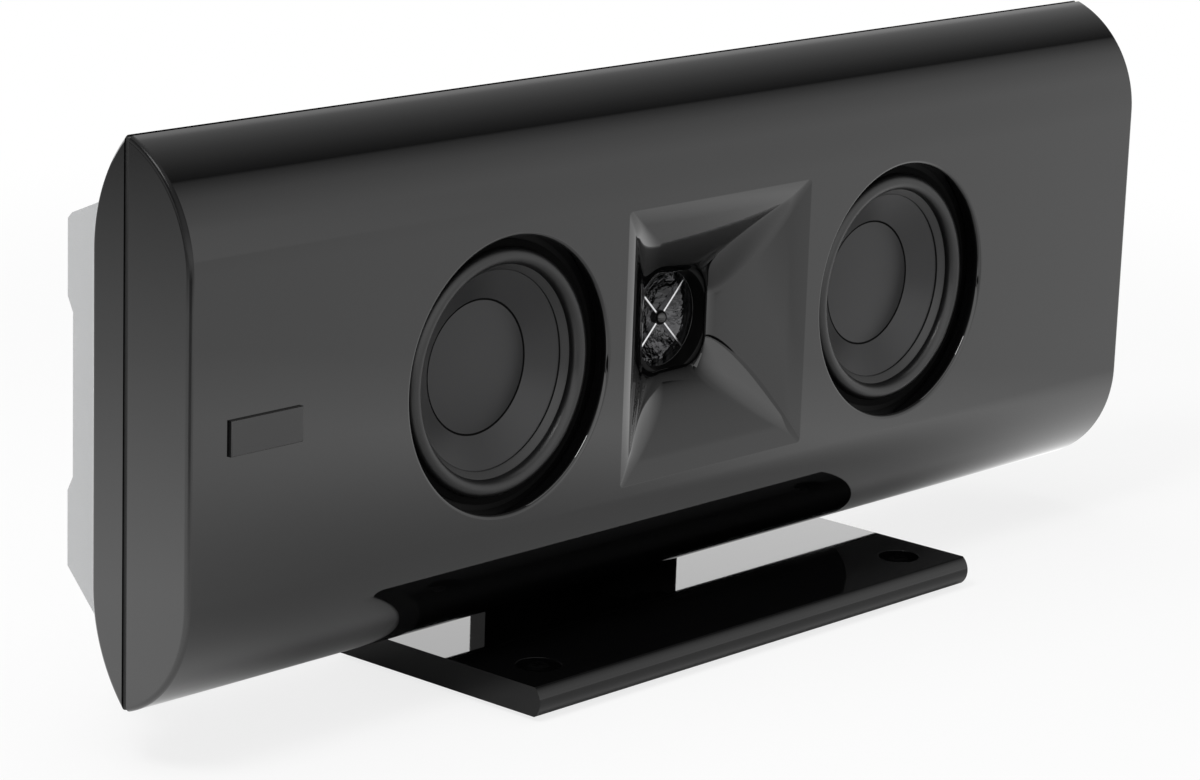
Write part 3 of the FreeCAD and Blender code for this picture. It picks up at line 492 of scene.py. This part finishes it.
cone_section = [(cone_edge, cone_at(cone_edge)), (cone_inner, cone_at(cone_inner)),
                (cone_inner, cone_at(cone_inner) + cone_wall), (cone_edge, cone_at(cone_edge) + cone_wall)]
glue_section = [(cap_radius - glue_width, cone_at(cap_radius)),
                (cap_radius, cone_at(cap_radius) - glue_rise),
                (cap_radius + glue_width, cone_at(cap_radius + glue_width)),
                (cap_radius, cone_at(cap_radius))]
spun_metal = look("spun_metal", (0.012, 0.012, 0.0127), (0.016, 0.016, 0.0167), (0.32, 0.4),
                  grain=1200, bump=0.02, Metallic=0.2, Specular_IOR_Level=0.36)
# Near-black glue round the cap's edge; the same colour also paints the shade in the crease there and in the
# recess.
glue_and_painted_shade = look("glue_and_painted_shade", (0.0006, 0.0006, 0.0006), (0.0012, 0.0012, 0.0012), (0.7, 0.9),
                  grain=1500, bump=0.1, Specular_IOR_Level=0.05)
roll_rubber = look("roll_rubber", (0.003, 0.003, 0.0031), (0.005, 0.005, 0.0052), (0.32, 0.42),
                   grain=900, bump=0.05, Specular_IOR_Level=0.4)
frame_paint = look("frame_paint", (0.0008, 0.0008, 0.0008), (0.0016, 0.0016, 0.0016), (0.45, 0.6),
                   grain=1500, bump=0.15, Specular_IOR_Level=0.1)
ferrite = look("ferrite", (0.03, 0.03, 0.032), (0.05, 0.05, 0.052), (0.6, 0.8), grain=900, bump=0.3)
zinc_steel = look("zinc_steel", (0.50, 0.50, 0.48), (0.62, 0.61, 0.58), (0.25, 0.42),
                  grain=800, bump=0.05, Metallic=1.0)
spider_cloth = look("spider_cloth", (0.40, 0.30, 0.14), (0.52, 0.40, 0.20), (0.8, 0.95), grain=1800, bump=0.5)
coil_wire = look("coil_wire", (0.55, 0.26, 0.12), (0.68, 0.36, 0.18), (0.25, 0.4),
                 grain=1500, bump=0.2, Metallic=1.0)


def stretch(obj, side, held, moved):
    """Lets a soft ring give between the radius that the cabinet holds and the one that the cone moves."""
    x = woofer_places[side] / per_metre
    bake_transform(obj, "cabinet", f"cone_{side}", start=(x, 0, 0), end=(x, -0.01, 0))
    for vertex, share in zip(obj.data.vertices, obj.data.attributes["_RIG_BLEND"].data):
        radius = per_metre * math.hypot(vertex.co.x - x, vertex.co.z - axis_height / per_metre)
        share.value = min(1.0, max(0.0, (held - radius) / (held - moved)))


def turned(name, section, x, material, body, *nodes):
    """A ring or disc made by turning a section about a woofer's axis."""
    mesh = bmesh.new()
    spin(mesh, section, x, axis_height)
    return piece(name, mesh, material, body, *nodes)


def paint(material, *nodes):
    """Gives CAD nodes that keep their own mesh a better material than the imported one."""
    for node in nodes:
        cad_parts[node].data.materials.clear()
        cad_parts[node].data.materials.append(material)


for side, x in woofer_places.items():
    for label, section in (("cone", cone_section), ("dust_cap", cap_section())):
        part = turned(f"{label}_{side}", section, x, spun_metal, f"cone_{side}", f"woofer_{label}_{side}")
    turned(f"glue_line_{side}", glue_section, x, glue_and_painted_shade, f"cone_{side}")
    roll = turned(f"surround_{side}", roll_section(), x, roll_rubber, None, f"woofer_surround_{side}")
    roll.data.materials.append(glue_and_painted_shade)
    # The surround's flange lies deep in the opening and takes the near-black as painted shade.
    for face in roll.data.polygons:
        middle = math.hypot(per_metre * face.center.x - x, per_metre * face.center.z - axis_height)
        face.material_index = 1 if middle > roll_outer else 0
    stretch(roll, side, roll_outer, roll_inner)
for side in woofer_places:
    paint(frame_paint, f"woofer_frame_{side}")
    paint(ferrite, f"woofer_magnet_{side}")
    paint(zinc_steel, f"woofer_top_plate_{side}", f"woofer_yoke_{side}")
    spider = dressed(f"spider_{side}", f"woofer_spider_{side}", spider_cloth, bevel=0, body=None)
    stretch(spider, side, spider_held, spider_neck)
    paint(coil_wire, f"woofer_coil_{side}")

# Horn driver
# Compression driver screwed behind the horn's throat: a dark metal dome under a phase plug.
# The plug's four thin spokes are left bright, and its ring and bullet are blackened.
throat_bore, bullet_radius = 14.1, 2.3
spoke_metal = look("spoke_metal", (0.50, 0.50, 0.51), (0.62, 0.62, 0.63), (0.12, 0.22),
                   grain=900, bump=0.03, Metallic=1.0)
plug_black = look("plug_black", (0.004, 0.004, 0.0042), (0.008, 0.008, 0.0084), (0.12, 0.2),
                  grain=900, bump=0.03)
dome_metal = look("dome_metal", (0.003, 0.003, 0.0031), (0.10, 0.10, 0.103), (0.04, 0.08),
                  grain=300, bump=6.0, Metallic=1.0)
dressed("driver_plate", "horn_driver_plate", frame_paint, bevel=0.2)
plug = dressed("phase_plug", "horn_phase_plug", spoke_metal, bevel=0.12)
plug.data.materials.append(plug_black)
for face in plug.data.polygons:
    reach = math.hypot(per_metre * face.center.x, per_metre * face.center.z - axis_height)
    face.material_index = 0 if bullet_radius < reach < throat_bore else 1
dressed("dome", "horn_dome", dome_metal, bevel=0)
paint(ferrite, "horn_magnet")
paint(frame_paint, "horn_driver_cap")

# Blank plate
# A small raised plate of satin black plastic, with no mark on it.
# It is stuck to the left of the front shell's face.
plate_black = look("plate_black", (0.004, 0.004, 0.0041), (0.007, 0.007, 0.0072), (0.25, 0.35),
                   grain=1500, bump=0.03)
dressed("name_plate", "badge_plate", plate_black, bevel=0)

# Back box
# Light grey matt moulding behind the drivers, screwed to the rear shell at its four corners.
# Two raised pads along it lie against a wall when the stand is taken off.
box_grey = look("box_grey", (0.42, 0.425, 0.43), (0.48, 0.485, 0.49), (0.5, 0.65), grain=2200, bump=0.25)
dressed("grey_box", "back_box", box_grey, bevel=0.4)

# Terminals and crossover
# A moulded cup screwed into the back box holds two gold-plated binding posts with plastic caps.
# The filter board with its coils and capacitors is screwed to four posts inside the box.
cup_plastic = look("cup_plastic", (0.010, 0.010, 0.010), (0.018, 0.018, 0.018), (0.45, 0.6),
                   grain=1800, bump=0.2)
gold_plate = look("gold_plate", (0.72, 0.50, 0.18), (0.82, 0.60, 0.24), (0.12, 0.25),
                  grain=900, bump=0.05, Metallic=1.0)
red_plastic = look("red_plastic", (0.42, 0.008, 0.008), (0.52, 0.014, 0.012), (0.2, 0.32),
                   grain=900, bump=0.05)
black_plastic = look("black_plastic", (0.008, 0.008, 0.008), (0.014, 0.014, 0.014), (0.2, 0.32),
                     grain=900, bump=0.05)
board_green = look("board_green", (0.02, 0.09, 0.03), (0.03, 0.12, 0.04), (0.3, 0.45), grain=900, bump=0.1)
sleeve_blue = look("sleeve_blue", (0.03, 0.035, 0.07), (0.04, 0.045, 0.09), (0.25, 0.35),
                   grain=900, bump=0.05)
dressed("cup", "terminal_cup", cup_plastic, bevel=0.4)
for sign, plastic in (("plus", red_plastic), ("minus", black_plastic)):
    dressed(f"post_{sign}", f"terminal_post_{sign}", gold_plate, bevel=0.2)
    dressed(f"cap_{sign}", f"terminal_cap_{sign}", plastic, bevel=0.1, body=f"cap_{sign}")
paint(board_green, "crossover_board")
paint(sleeve_blue, "crossover_capacitors")
paint(coil_wire, "crossover_inductors")

# Keyhole plates
# Pressed steel plates with a dull plating, let into the upper wall pad.
# Each has a keyhole that drops over the head of a screw in the wall.
dull_plating = look("dull_plating", (0.20, 0.20, 0.195), (0.26, 0.26, 0.25), (0.4, 0.55),
                    grain=800, bump=0.05, Metallic=1.0)
for side in woofer_places:
    dressed(f"keyhole_{side}", f"hanger_plate_{side}", dull_plating, bevel=0.2)

# Stand
# A thick gloss black plate on rubber feet, with an upright screwed to its back edge from below.
# The upright carries the back box on a flange.
stand_gloss = look("stand_gloss", (0.0012, 0.0012, 0.0013), (0.002, 0.002, 0.0021), (0.03, 0.06),
                   grain=700, bump=0.012, Specular_IOR_Level=0.33)
foot_rubber = look("foot_rubber", (0.010, 0.010, 0.010), (0.018, 0.018, 0.018), (0.7, 0.85),
                   grain=1800, bump=0.4)
dressed("base_plate", "stand_base", stand_gloss, bevel=0.35)
dressed("upright", "stand_upright", stand_gloss, bevel=0.35)
dressed("feet", "stand_feet", foot_rubber, bevel=0.2)

# Screws
# Cross-head steel screws, plated or blackened, with bevelled heads that each stop at a turn of their own.
# They are driven in from the back or from below, but for the board's and the two over the front feet.
case_head, case_shank = 1.8, 1.45
cup_head, board_head, fine_shank = 0.5, 1.2, 1.2
upright_head, foot_head, stand_shank = 2.4, 1.6, 1.95
rim_height, rim_top, head_sides = 0.35, 0.8, 32
slot_length, slot_width, slot_middle = 1.15, 0.26, 1.05
turn_seed = 4

screw_tree = bpy.data.node_groups.new("cross_head_screws", "GeometryNodeTree")
screw_tree.interface.new_socket("Places", in_out="INPUT", socket_type="NodeSocketGeometry")
for label in ("Head Radius", "Head Height", "Shank Radius", "Shank Length"):
    screw_tree.interface.new_socket(label, in_out="INPUT", socket_type="NodeSocketFloat")
screw_tree.interface.new_socket("Facing", in_out="INPUT", socket_type="NodeSocketVector")
screw_tree.interface.new_socket("Material", in_out="INPUT", socket_type="NodeSocketMaterial")
screw_tree.interface.new_socket("Screws", in_out="OUTPUT", socket_type="NodeSocketGeometry")


def fill_screw_tree(tree):
    """A bevelled round head with a cross cut into it and a plain shank, set on every point."""
    nodes, links = tree.nodes, tree.links
    given, result = nodes.new("NodeGroupInput"), nodes.new("NodeGroupOutput")

    def times(label, factor):
        """One of the given sizes, times a factor."""
        node = nodes.new("ShaderNodeMath")
        node.operation = "MULTIPLY"
        node.inputs[1].default_value = factor
        links.new(given.outputs[label], node.inputs[0])
        return node.outputs[0]

    def lifted(geometry, height):
        """A mesh moved along the screw's axis."""
        offset, move = nodes.new("ShaderNodeCombineXYZ"), nodes.new("GeometryNodeTransform")
        links.new(height, offset.inputs["Z"])
        links.new(geometry, move.inputs["Geometry"])
        links.new(offset.outputs["Vector"], move.inputs["Translation"])
        return move.outputs["Geometry"]

    def cylinder(radius, depth, height):
        """A round bar with its middle at a height."""
        node = nodes.new("GeometryNodeMeshCylinder")
        node.inputs["Vertices"].default_value = head_sides
        links.new(radius, node.inputs["Radius"])
        links.new(depth, node.inputs["Depth"])
        return lifted(node.outputs["Mesh"], height)

    def slot(along, across):
        """One of the two cuts of the cross."""
        size, cube = nodes.new("ShaderNodeCombineXYZ"), nodes.new("GeometryNodeMeshCube")
        links.new(times("Head Radius", along), size.inputs["X"])
        links.new(times("Head Radius", across), size.inputs["Y"])
        links.new(given.outputs["Head Height"], size.inputs["Z"])
        links.new(size.outputs["Vector"], cube.inputs["Size"])
        return lifted(cube.outputs["Mesh"], times("Head Height", slot_middle))

    rim = nodes.new("GeometryNodeMeshCone")
    rim.inputs["Vertices"].default_value = head_sides
    links.new(times("Head Radius", rim_top), rim.inputs["Radius Top"])
    links.new(given.outputs["Head Radius"], rim.inputs["Radius Bottom"])
    links.new(times("Head Height", rim_height), rim.inputs["Depth"])
    wall = 1 - rim_height
    top = lifted(rim.outputs["Mesh"], times("Head Height", wall))
    side = cylinder(given.outputs["Head Radius"], times("Head Height", wall), times("Head Height", wall / 2))
    length = given.outputs["Shank Length"]
    shank = cylinder(given.outputs["Shank Radius"], length, times("Shank Length", -0.5))
    head, cross = nodes.new("GeometryNodeMeshBoolean"), nodes.new("GeometryNodeMeshBoolean")
    head.operation = "UNION"
    for solid in (top, side, shank):
        links.new(solid, head.inputs["Mesh 2"])
    cross.operation = "DIFFERENCE"
    links.new(head.outputs["Mesh"], cross.inputs["Mesh 1"])
    links.new(slot(slot_length, slot_width), cross.inputs["Mesh 2"])
    links.new(slot(slot_width, slot_length), cross.inputs["Mesh 2"])
    spread, turn = nodes.new("GeometryNodeInstanceOnPoints"), nodes.new("GeometryNodeRotateInstances")
    angle = nodes.new("FunctionNodeRandomValue")
    angle.data_type = "FLOAT_VECTOR"
    angle.inputs[1].default_value = (0.0, 0.0, math.pi)
    angle.inputs["Seed"].default_value = turn_seed
    links.new(given.outputs["Places"], spread.inputs["Points"])
    links.new(cross.outputs["Mesh"], spread.inputs["Instance"])
    links.new(given.outputs["Facing"], spread.inputs["Rotation"])
    links.new(spread.outputs["Instances"], turn.inputs["Instances"])
    links.new(angle.outputs[0], turn.inputs["Rotation"])
    real, colour = nodes.new("GeometryNodeRealizeInstances"), nodes.new("GeometryNodeSetMaterial")
    links.new(turn.outputs["Instances"], real.inputs["Geometry"])
    links.new(real.outputs["Geometry"], colour.inputs["Geometry"])
    links.new(given.outputs["Material"], colour.inputs["Material"])
    links.new(colour.outputs["Geometry"], result.inputs["Screws"])


fill_screw_tree(screw_tree)
screw_sockets = {item.name: item.identifier for item in screw_tree.interface.items_tree}


def screws(node, out, head_height, shank_radius, material):
    """Puts a screw on each solid of a CAD node, with its head towards one side."""
    out = Vector(out)
    places = []
    for low, high in solids(node):
        span = abs((high - low).dot(out))
        places.append((low + high) / 2 + out * (span / 2 - head_height))
    mesh = bpy.data.meshes.new(node)
    mesh.from_pydata(places, [], [])
    obj = bpy.data.objects.new(node, mesh)
    bpy.context.scene.collection.objects.link(obj)
    modifier = obj.modifiers.new("screws", "NODES")
    modifier.node_group = screw_tree
    modifier[screw_sockets["Head Radius"]] = (high.x - low.x) / 2
    modifier[screw_sockets["Head Height"]] = head_height
    modifier[screw_sockets["Shank Radius"]] = shank_radius
    modifier[screw_sockets["Shank Length"]] = span - head_height
    modifier[screw_sockets["Facing"]] = Vector((0, 0, 1)).rotation_difference(out).to_euler()
    modifier[screw_sockets["Material"]] = material
    bm = bmesh.new()
    bm.from_mesh(baked(obj))
    bpy.data.objects.remove(obj)
    return piece(f"{node}_cross_head", bm, material, "cabinet", node)


black_steel = look("black_steel", (0.010, 0.010, 0.010), (0.020, 0.020, 0.020), (0.3, 0.45),
                   grain=1200, bump=0.1, Metallic=0.6)
back, front, down, upwards = (0, 1, 0), (0, -1, 0), (0, 0, -1), (0, 0, 1)
for node in ("case_screws", "box_screws"):
    screws(node, back, case_head, case_shank, black_steel)
for node in ("woofer_screws_left", "woofer_screws_right", "horn_screws"):
    screws(node, back, case_head, case_shank, zinc_steel)
screws("cup_screws", back, cup_head, fine_shank, black_steel)
screws("board_screws", front, board_head, fine_shank, zinc_steel)
screws("bracket_screws", down, case_head, case_shank, black_steel)
screws("upright_screws", down, upright_head, stand_shank, black_steel)
screws("foot_screws", upwards, foot_head, stand_shank, black_steel)

# Floor
# A plain pale floor, matt and softly shadowed near the object, and plain white to the camera farther off.
# Reflections see it glow at the studio's levels, with a painted dark round in that glow at the front left.
floor_reach, floor_grey = 6.0, 0.7
floor_fades = (("Is Camera Ray", 0.35, 0.75, 0.8), ("Is Glossy Ray", 0.12, 0.26, 0.0))
# A dark round painted into the floor's glow for reflections only; the camera sees plain white there.
dark_glow_place, dark_glow_radius, dark_glow_end = (-0.60, -0.55, 0), 0.37, 0.41
dark_glow_level, glow_top = 0.03, 2.0
glow_way = (-math.sqrt(0.5), math.sqrt(0.5), 0)
floor_glow = ((-0.5, 1.3), (-0.35, 1.3), (-0.24, 1.6), (0.0, 1.4), (0.15, 1.9), (0.3, 1.9), (0.6, 1.1),
              (1.0, 0.45), (1.5, 0.45))


def fill_ramp(ramp, levels, first, last, top):
    """Sets grey levels, as shares of the top one, along a colour ramp from the first place to the last."""
    stops = ramp.color_ramp.elements
    while len(stops) < len(levels):
        stops.new(0.5)
    for stop, (place, level) in zip(stops, levels):
        stop.position = (place - first) / (last - first)
        stop.color = (level / top, level / top, level / top, 1)


def floor_material():
    """Matt grey that fades with distance: to white for the camera, to the studio's glow for reflections."""
    material = bpy.data.materials.new("white_floor")
    material.use_nodes = True
    nodes, links = material.node_tree.nodes, material.node_tree.links
    nodes.remove(nodes["Principled BSDF"])
    matt, plain, studio = add(nodes, "BsdfDiffuse", "Emission", "Emission")
    glow, mixed = add(nodes, "MixShader", "MixShader")
    path, place, seen, ramp = add(nodes, "LightPath", "TexCoord", "Math", "ValToRGB")
    length, along, reach = add(nodes, "VectorMath", "VectorMath", "VectorMath")
    edge, share = add(nodes, "MapRange", "MapRange")
    preset(matt, Color=(floor_grey, floor_grey, floor_grey, 1))
    length.operation = "LENGTH"
    along.operation = "DOT_PRODUCT"
    along.inputs[1].default_value = glow_way
    reach.operation = "DISTANCE"
    reach.inputs[1].default_value = dark_glow_place
    preset(edge, From_Min=dark_glow_radius, From_Max=dark_glow_end, To_Min=dark_glow_level, To_Max=glow_top)
    first, last = floor_glow[0][0], floor_glow[-1][0]
    preset(share, From_Min=first, From_Max=last)
    fill_ramp(ramp, floor_glow, first, last, glow_top)
    seen.operation = "MAXIMUM"
    for slot, (ray, near, far, least) in enumerate(floor_fades):
        fade, share_seen = add(nodes, "MapRange", "Math")
        fade.interpolation_type = "SMOOTHSTEP"
        preset(fade, From_Min=near, From_Max=far, To_Min=least)
        share_seen.operation = "MULTIPLY"
        links.new(length.outputs["Value"], fade.inputs["Value"])
        links.new(fade.outputs["Result"], share_seen.inputs[0])
        links.new(path.outputs[ray], share_seen.inputs[1])
        links.new(share_seen.outputs["Value"], seen.inputs[slot])
    for measure in (length, along, reach):
        links.new(place.outputs["Object"], measure.inputs[0])
    links.new(reach.outputs["Value"], edge.inputs["Value"])
    links.new(edge.outputs["Result"], studio.inputs["Strength"])
    links.new(along.outputs["Value"], share.inputs["Value"])
    links.new(share.outputs["Result"], ramp.inputs["Fac"])
    links.new(ramp.outputs["Color"], studio.inputs["Color"])
    links.new(path.outputs["Is Camera Ray"], glow.inputs["Fac"])
    links.new(studio.outputs["Emission"], glow.inputs[1])
    links.new(plain.outputs["Emission"], glow.inputs[2])
    links.new(seen.outputs["Value"], mixed.inputs["Fac"])
    links.new(matt.outputs["BSDF"], mixed.inputs[1])
    links.new(glow.outputs["Shader"], mixed.inputs[2])
    links.new(mixed.outputs["Shader"], nodes["Material Output"].inputs["Surface"])
    return material


floor_mesh = bpy.data.meshes.new("floor")
floor_corners = [(x * floor_reach, y * floor_reach, 0) for x, y in ((-1, -1), (1, -1), (1, 1), (-1, 1))]
floor_mesh.from_pydata(floor_corners, [], [(0, 1, 2, 3)])
floor = bpy.data.objects.new("floor", floor_mesh)
bpy.context.scene.collection.objects.link(floor)
floor_mesh.materials.append(floor_material())

# Studio light
# A plain even room with two softboxes, one overhead and a smaller key at the upper left.
# Reflections see a wide bright panel in front, brighter to the left, a dark ceiling and a lit back wall.
studio_levels = ((-180, 2.4), (-90, 1.3), (0, 1.3), (24, 1.3), (32, 1.2), (41, 1.05), (50, 0.88), (57, 0.65),
                 (64, 0.4), (67, 0.3), (68.5, 0.08), (80, 0.2), (90, 0.32), (98, 0.4), (106, 0.5), (114, 0.6),
                 (118, 0.7), (122, 1.1), (140, 1.8), (155, 2.4), (180, 2.4))
studio_top, plain_level, object_middle = 3.0, 0.6, (0, 0, 0.09)
panel_way, panel_start, panel_full, panel_top = (-0.62, -0.78, 0), 0.1, 0.6, 5.4


def studio_world():
    """Even light, white to the camera; to reflections, levels by the angle above the front horizon."""
    world = bpy.data.worlds.new("studio")
    world.use_nodes = True
    nodes, links = world.node_tree.nodes, world.node_tree.links
    studio = nodes["Background"]
    around, parts, forward, tilt = add(nodes, "TexCoord", "SeparateXYZ", "Math", "Math")
    share, ramp, facing, side = add(nodes, "MapRange", "ValToRGB", "VectorMath", "MapRange")
    plain, level, chosen, path = add(nodes, "Background", "MapRange", "MixShader", "LightPath")
    forward.operation = "MULTIPLY"
    forward.inputs[1].default_value = -1.0
    tilt.operation = "ARCTAN2"
    preset(share, From_Min=-math.pi, From_Max=math.pi)
    fill_ramp(ramp, studio_levels, studio_levels[0][0], studio_levels[-1][0], studio_top)
    facing.operation = "DOT_PRODUCT"
    facing.inputs[1].default_value = panel_way
    preset(side, From_Min=panel_start, From_Max=panel_full, To_Min=studio_top, To_Max=panel_top)
    preset(plain, Color=(1, 1, 1, 1))
    preset(level, To_Min=plain_level)
    links.new(around.outputs["Generated"], facing.inputs[0])
    links.new(facing.outputs["Value"], side.inputs["Value"])
    links.new(side.outputs["Result"], studio.inputs["Strength"])
    links.new(around.outputs["Generated"], parts.inputs["Vector"])
    links.new(parts.outputs["Y"], forward.inputs[0])
    links.new(parts.outputs["Z"], tilt.inputs[0])
    links.new(forward.outputs["Value"], tilt.inputs[1])
    links.new(tilt.outputs["Value"], share.inputs["Value"])
    links.new(share.outputs["Result"], ramp.inputs["Fac"])
    links.new(ramp.outputs["Color"], studio.inputs["Color"])
    links.new(path.outputs["Is Camera Ray"], level.inputs["Value"])
    links.new(level.outputs["Result"], plain.inputs["Strength"])
    links.new(path.outputs["Is Glossy Ray"], chosen.inputs["Fac"])
    links.new(plain.outputs["Background"], chosen.inputs[1])
    links.new(studio.outputs["Background"], chosen.inputs[2])
    links.new(chosen.outputs["Shader"], nodes["World Output"].inputs["Surface"])
    return world


def softbox(name, place, size, power):
    """A square light turned to the middle of the object."""
    light = bpy.data.lights.new(name, "AREA")
    light.size = size
    light.energy = power
    obj = bpy.data.objects.new(name, light)
    obj.location = place
    obj.rotation_euler = (Vector(place) - Vector(object_middle)).to_track_quat("Z", "Y").to_euler()
    bpy.context.scene.collection.objects.link(obj)


bpy.context.scene.world = studio_world()
softbox("overhead", (-0.05, 0.0, 1.2), size=1.2, power=7.0)
softbox("key", (-0.87, -0.12, 1.24), size=0.45, power=10.0)

# Camera
# A long lens from the front left and a little above, turned slightly about its own axis.
# Its place and angles are those of the photograph.
camera_place = (-0.82066, -0.71397, 0.33859)
azimuth, elevation, roll_angle = math.radians(-47.99), math.radians(13.96), math.radians(2.02)
camera = bpy.data.cameras.new("camera")
camera.sensor_width = 36.0
camera.lens = 116.5
camera_object = bpy.data.objects.new("camera", camera)
level_back = Vector((math.sin(azimuth), -math.cos(azimuth), 0))
behind = level_back * math.cos(elevation) + Vector((0, 0, math.sin(elevation)))
right = Vector((0, 0, 1)).cross(behind).normalized()
up = behind.cross(right)
across = math.cos(roll_angle) * right + math.sin(roll_angle) * up
upward = math.cos(roll_angle) * up - math.sin(roll_angle) * right
turn = Matrix((across, upward, behind)).transposed().to_4x4()
camera_object.matrix_world = Matrix.Translation(camera_place) @ turn
bpy.context.scene.collection.objects.link(camera_object)
bpy.context.scene.camera = camera_object
bpy.context.scene.view_settings.view_transform = "Standard"
